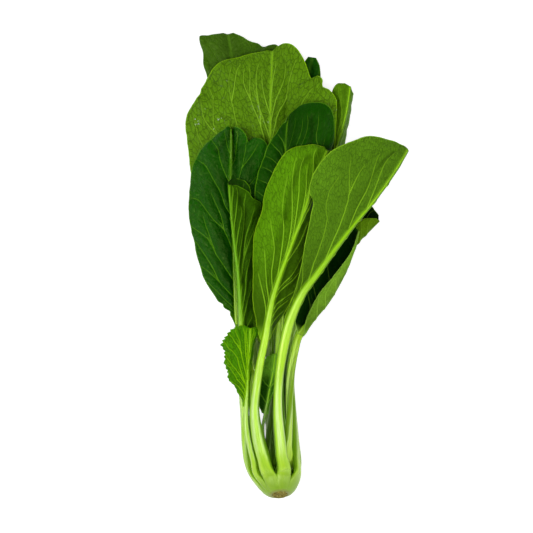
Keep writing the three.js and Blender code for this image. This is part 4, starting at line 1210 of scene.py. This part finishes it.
# %% [markdown]
# ## The finish of a stalk
# A stalk is juicy and smooth, with fine fibres along it. Its ridges are painted lighter, as light that
# catches them, with an almost white painted highlight on its belly. It is palest above the foot, where it
# was in the shade of the others, fresh yellow-green along its length, and greener again as the midrib in
# the blade. Its edges are painted darker as shade, low on the foot it is painted olive as the shade near
# the crown, and the knife left a thin dry line round it.

# %% Stalk finish
PAINTED_BELLY_HIGHLIGHT = colour(248, 255, 220)
PAINTED_FOOT_SHADE = colour(116, 160, 10)


def stalk_finish(name, tones):
    """A stalk, foot to midrib. Light is painted light on its ridges, shaded painted shade on its edges."""
    material, nodes, shader = new_finish(name)
    tone = {key: colour(*value) for key, value in tones.items()}
    place = mesh_place(nodes)
    thread = use(nodes, fibres, Place=place, Width=1.0, Length=80.0)["Mask"]
    band = use(nodes, fibres, Place=place, Width=4.5, Length=140.0)["Mask"]
    slow = use(nodes, mottle, Place=place, Size=24.0)["Mask"]
    in_blade, edge, base = (mesh_value(nodes, key) for key in ("blade", "edge", "base"))
    inner_side = nodes.maths("SUBTRACT", 1.0, mesh_value(nodes, "back"))
    # painted light: the crests of the ridges are lit, less so in the blade, and on the belly they carry an
    # almost white painted highlight
    shown = nodes.maths("MULTIPLY_ADD", in_blade, -0.42, 0.5)
    lit_crest = nodes.maths("MULTIPLY", mesh_value(nodes, "crest"), shown)
    painted_ridge_light = over(nodes, tone["light"], PAINTED_BELLY_HIGHLIGHT, mesh_value(nodes, "belly"))
    skin = over(nodes, tone["middle"], tone["foot"], mesh_value(nodes, "foot"))
    skin = over(nodes, skin, tone["midrib"], in_blade)
    skin = over(nodes, skin, painted_ridge_light, lit_crest)
    # fibres, bands and mottle are the stalk's own darker streaks; the inner side and the edges get painted
    # shade
    for mask, amount in ((thread, 0.14), (band, 0.36), (slow, 0.2), (inner_side, 0.15), (edge, 0.65)):
        skin = over(nodes, skin, tone["shaded"], mask, amount)
    # painted shade: a darker line where the stalk turns away at its edges
    skin = over(nodes, skin, tinted(tone["shaded"], 0.45), nodes.between(edge, 0.6, 1.0), 0.5)
    # painted shade: olive low on the foot, as the shade near the crown
    skin = over(nodes, skin, PAINTED_FOOT_SHADE, base, 0.8)
    skin = over(nodes, skin, tone["scar"], mesh_value(nodes, "cut"), 0.8)
    rough = nodes.maths("MULTIPLY_ADD", base, 0.22, nodes.maths("MULTIPLY_ADD", thread, 0.06, 0.2))
    feed(shader, {"Base Color": skin, "Roughness": rough, "IOR": 1.6, "Specular Tint": STALK_TINT})
    shine = nodes.maths("MULTIPLY_ADD", edge, -0.9, 0.95)
    shine = nodes.maths("MULTIPLY", shine, nodes.maths("MULTIPLY_ADD", in_blade, -0.75, 1.0))
    feed(shader, {"Specular IOR Level": shine})
    add_bump(nodes, shader, nodes.maths("MULTIPLY_ADD", band, 1.5, thread), 0.35, 0.0003)
    return material


# %% [markdown]
# ## The crown
# The cut end of the stem is dry and tan, mottled with brown patches and pale specks, and still green at
# its side. It is turned round the stem's line, with a lumpy outline, and its cut face is slightly hollow.

# %% Crown mesh and finish
# radius and height along the stem, mm, from the middle of the cut face to the hidden tip
STEM_PROFILE = [(0.1, -5.6), (1.6, -5.8), (3.0, -6.3), (4.0, -6.9), (4.8, -7.1), (5.4, -6.7), (5.7, -5.6),
                (5.9, -2.5), (5.8, 1), (5.3, 3.4), (4.6, 6), (3.6, 8.4), (2.6, 10.8), (1.2, 12.6), (0.1, 13)]
STEM_SIDES = 72
TORN_INSIDE = 5.5      # the cut face and the tip inside this radius are rough
TORN = 0.35            # mm


def crown_finish():
    """Dry tan with brown patches on the cut face, fresh green on the side."""
    material, nodes, shader = new_finish("dry cut stem")
    place = mesh_place(nodes)
    patches, specks = (use(nodes, mottle, Place=place, Size=size)["Mask"] for size in (3.2, 0.9))
    skin = over(nodes, colour(160, 148, 56), colour(104, 84, 14), patches)
    skin = over(nodes, skin, colour(200, 196, 120), specks, 0.45)
    skin = over(nodes, skin, colour(150, 184, 72), mesh_value(nodes, "fresh"))
    feed(shader, {"Base Color": skin, "Roughness": 0.8, "Specular IOR Level": 0.2})
    add_bump(nodes, shader, specks, 0.8, 0.0006)
    return material


def make_crown():
    """The cut stem: a fine turned mesh with a lumpy outline."""
    radii, heights = np.array(STEM_PROFILE).T
    turn = 2 * math.pi * np.arange(STEM_SIDES) / STEM_SIDES
    axis = CROWN_CENTRE + np.outer(heights, CROWN_LEAN)
    lumps = 1 + 0.05 * np.sin(3 * turn + 1) + 0.045 * np.sin(7 * turn + 2) + 0.02 * np.sin(17 * turn) - 0.04
    from_axis = turned_about_stem(STEM_PROFILE, STEM_SIDES) - axis[:, None]
    points = (axis[:, None] + from_axis * lumps[None, :, None]).reshape(-1, 3)
    torn = unevenness(points[:, 0], points[:, 2], 3.2, 7) * np.repeat(radii < TORN_INSIDE, STEM_SIDES)
    points += TORN * torn[:, None] * CROWN_LEAN
    fresh = smoothstep(-5.2, -2.6, np.repeat(heights, STEM_SIDES))
    faces = tube_faces(len(radii), STEM_SIDES)
    attributes = dict(place=points.copy(), fresh=fresh)
    return make_object("cut_stem", points, faces, attributes, crown_finish(), "crown")


crown = make_crown()
print("crown faces:", len(crown.data.polygons))

# %% [markdown]
# ## Making the head
# Every leaf gets its own mix of greens, because leaves of one head differ: outer leaves are darker and
# older, inner ones lighter and yellower. Its four colours are those of the underside, the upper side, the
# veins and the rim. `cell` is the size of the network's cells and `draw` how much they are drawn out along
# the side veins. `lines` is how dark the network is, `deep` how dark the painted shade in the hollows is
# and `shade` how dark the painted shade on the lower end of the blade is.

# %% Finishes of the blades
LOOKS = {
    "front": ((102, 164, 10), (44, 92, 8), (156, 218, 40), (160, 215, 30),
        dict(cell=2.2, draw=2.6, lines=0.85, deep=0.85, shade=0.95)),
    "right": ((98, 150, 24), (44, 92, 8), (144, 200, 36), (156, 212, 44),
        dict(cell=1.8, draw=2.0, lines=0.85, deep=0.55, shade=0.58)),
    "toothed": ((80, 152, 2), (60, 110, 4), (140, 200, 6), (100, 170, 8),
        dict(cell=2.2, draw=2.0, lines=0.9, deep=0.7, shade=0.3)),
    "rolled": ((64, 120, 0), (24, 70, 2), (112, 170, 24), (96, 156, 14),
        dict(cell=2.0, draw=4.0, lines=0.6, deep=1.0, shade=0.6)),
    "glossy": ((90, 140, 50), (20, 90, 0), (110, 176, 20), (80, 140, 10),
        dict(cell=3.0, draw=1.3, lines=0.45, gloss=0.3, shine=0.2, deep=0.85, shade=0.1, pale_groove=0.65)),
    "dark": ((90, 140, 50), (18, 76, 0), (120, 180, 40), (90, 150, 16),
        dict(cell=3.2, draw=1.6, lines=0.35, shine=0.1, deep=0.75, shade=0.0, pale_groove=0.5)),
    "upper": ((90, 140, 10), (36, 84, 6), (126, 180, 30), (120, 170, 24),
        dict(cell=3.0, draw=1.5, lines=0.35)),
    "broad": ((98, 148, 14), (40, 88, 6), (138, 190, 40), (140, 196, 14),
        dict(cell=3.2, draw=1.25, lines=1.0, matt=0.45, shine=0.16, deep=0.3, shade=0.0, wet=0.64)),
    "slim": ((90, 140, 50), (16, 78, 2), (100, 150, 40), (80, 130, 20),
        dict(lines=0.3, shine=0.08, shade=0.0)),
    "back": ((90, 140, 50), (62, 104, 8), (110, 160, 40), (80, 130, 20),
        dict(cell=3.4, lines=0.4, shine=0.24)),
    # painted shade: the upper sides of the folded and pointed leaves are nearly black, as the shade inside
    # their folds
    "folded": ((126, 178, 44), (5, 52, 1), (146, 196, 60), (150, 200, 70),
        dict(cell=2.4, draw=1.5, lines=0.3, shine=0.05)),
    "pointed": ((108, 154, 16), (4, 32, 2), (130, 176, 36), (120, 160, 30),
        dict(cell=2.6, lines=0.35, shine=0.05)),
    "small": ((40, 100, 4), (30, 84, 4), (110, 170, 40), (110, 170, 60),
        dict(cell=1.8, draw=1.2, lines=0.7, pale_tip=0.7)),
}
print("blade finishes:", len(LOOKS))

# %% Tones of the stalks
STALK = dict(foot=(194, 240, 64), middle=(186, 246, 0), midrib=(156, 218, 16), light=(214, 255, 50),
             shaded=(112, 172, 0), scar=(120, 104, 36))
# painted shade: darker copies of the stalk tones for the inner stalks that lie in the shade of the others
SHADED_INNER_TONES = dict(middle=(92, 142, 4), foot=(140, 188, 26), light=(124, 176, 24), shaded=(66, 108, 0))
STALK_TONES = {
    "glossy": dict(midrib=(32, 92, 4)),
    "rolled": dict(midrib=(104, 176, 4), light=(190, 240, 50)),
    "dark": dict(midrib=(60, 124, 12)),
    "small": dict(middle=(130, 196, 20), light=(170, 226, 60)),
    "upper": dict(middle=(170, 230, 4), shaded=(104, 160, 0)),
    # painted light: the folded stalk is lighter, to make up for the shade of the right stalk on it
    "folded": dict(middle=(206, 255, 30), foot=(214, 255, 90), shaded=(140, 200, 10)),
    "broad": SHADED_INNER_TONES, "slim": SHADED_INNER_TONES, "back": SHADED_INNER_TONES,
}
print("stalks with tones of their own:", len(STALK_TONES))

# %% Stalks and blades
for name, leaf in LEAVES.items():
    tones = STALK | STALK_TONES.get(name, {})
    stalk = make_stalk(name, leaf, stalk_finish(f"{name} stalk skin", tones))
    *colours, values = LOOKS[name]
    blade = make_blade(name, leaf, blade_finish(f"{name} leaf skin", colours, **values))
    print(name, "stalk faces", len(stalk.data.polygons), "blade faces", len(blade.data.polygons))

# %% [markdown]
# ## Sizes
# The finished head has to stay the size of the solids. Both boxes are written down so that they can be
# compared.

# %% Sizes
VISUAL_BOX = [list(corner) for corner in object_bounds()]
for label, (low, high) in (("solids", CAD_BOX), ("finished", VISUAL_BOX)):
    print(label, "mm:", [round(x * 1000, 1) for x in low], [round(x * 1000, 1) for x in high])
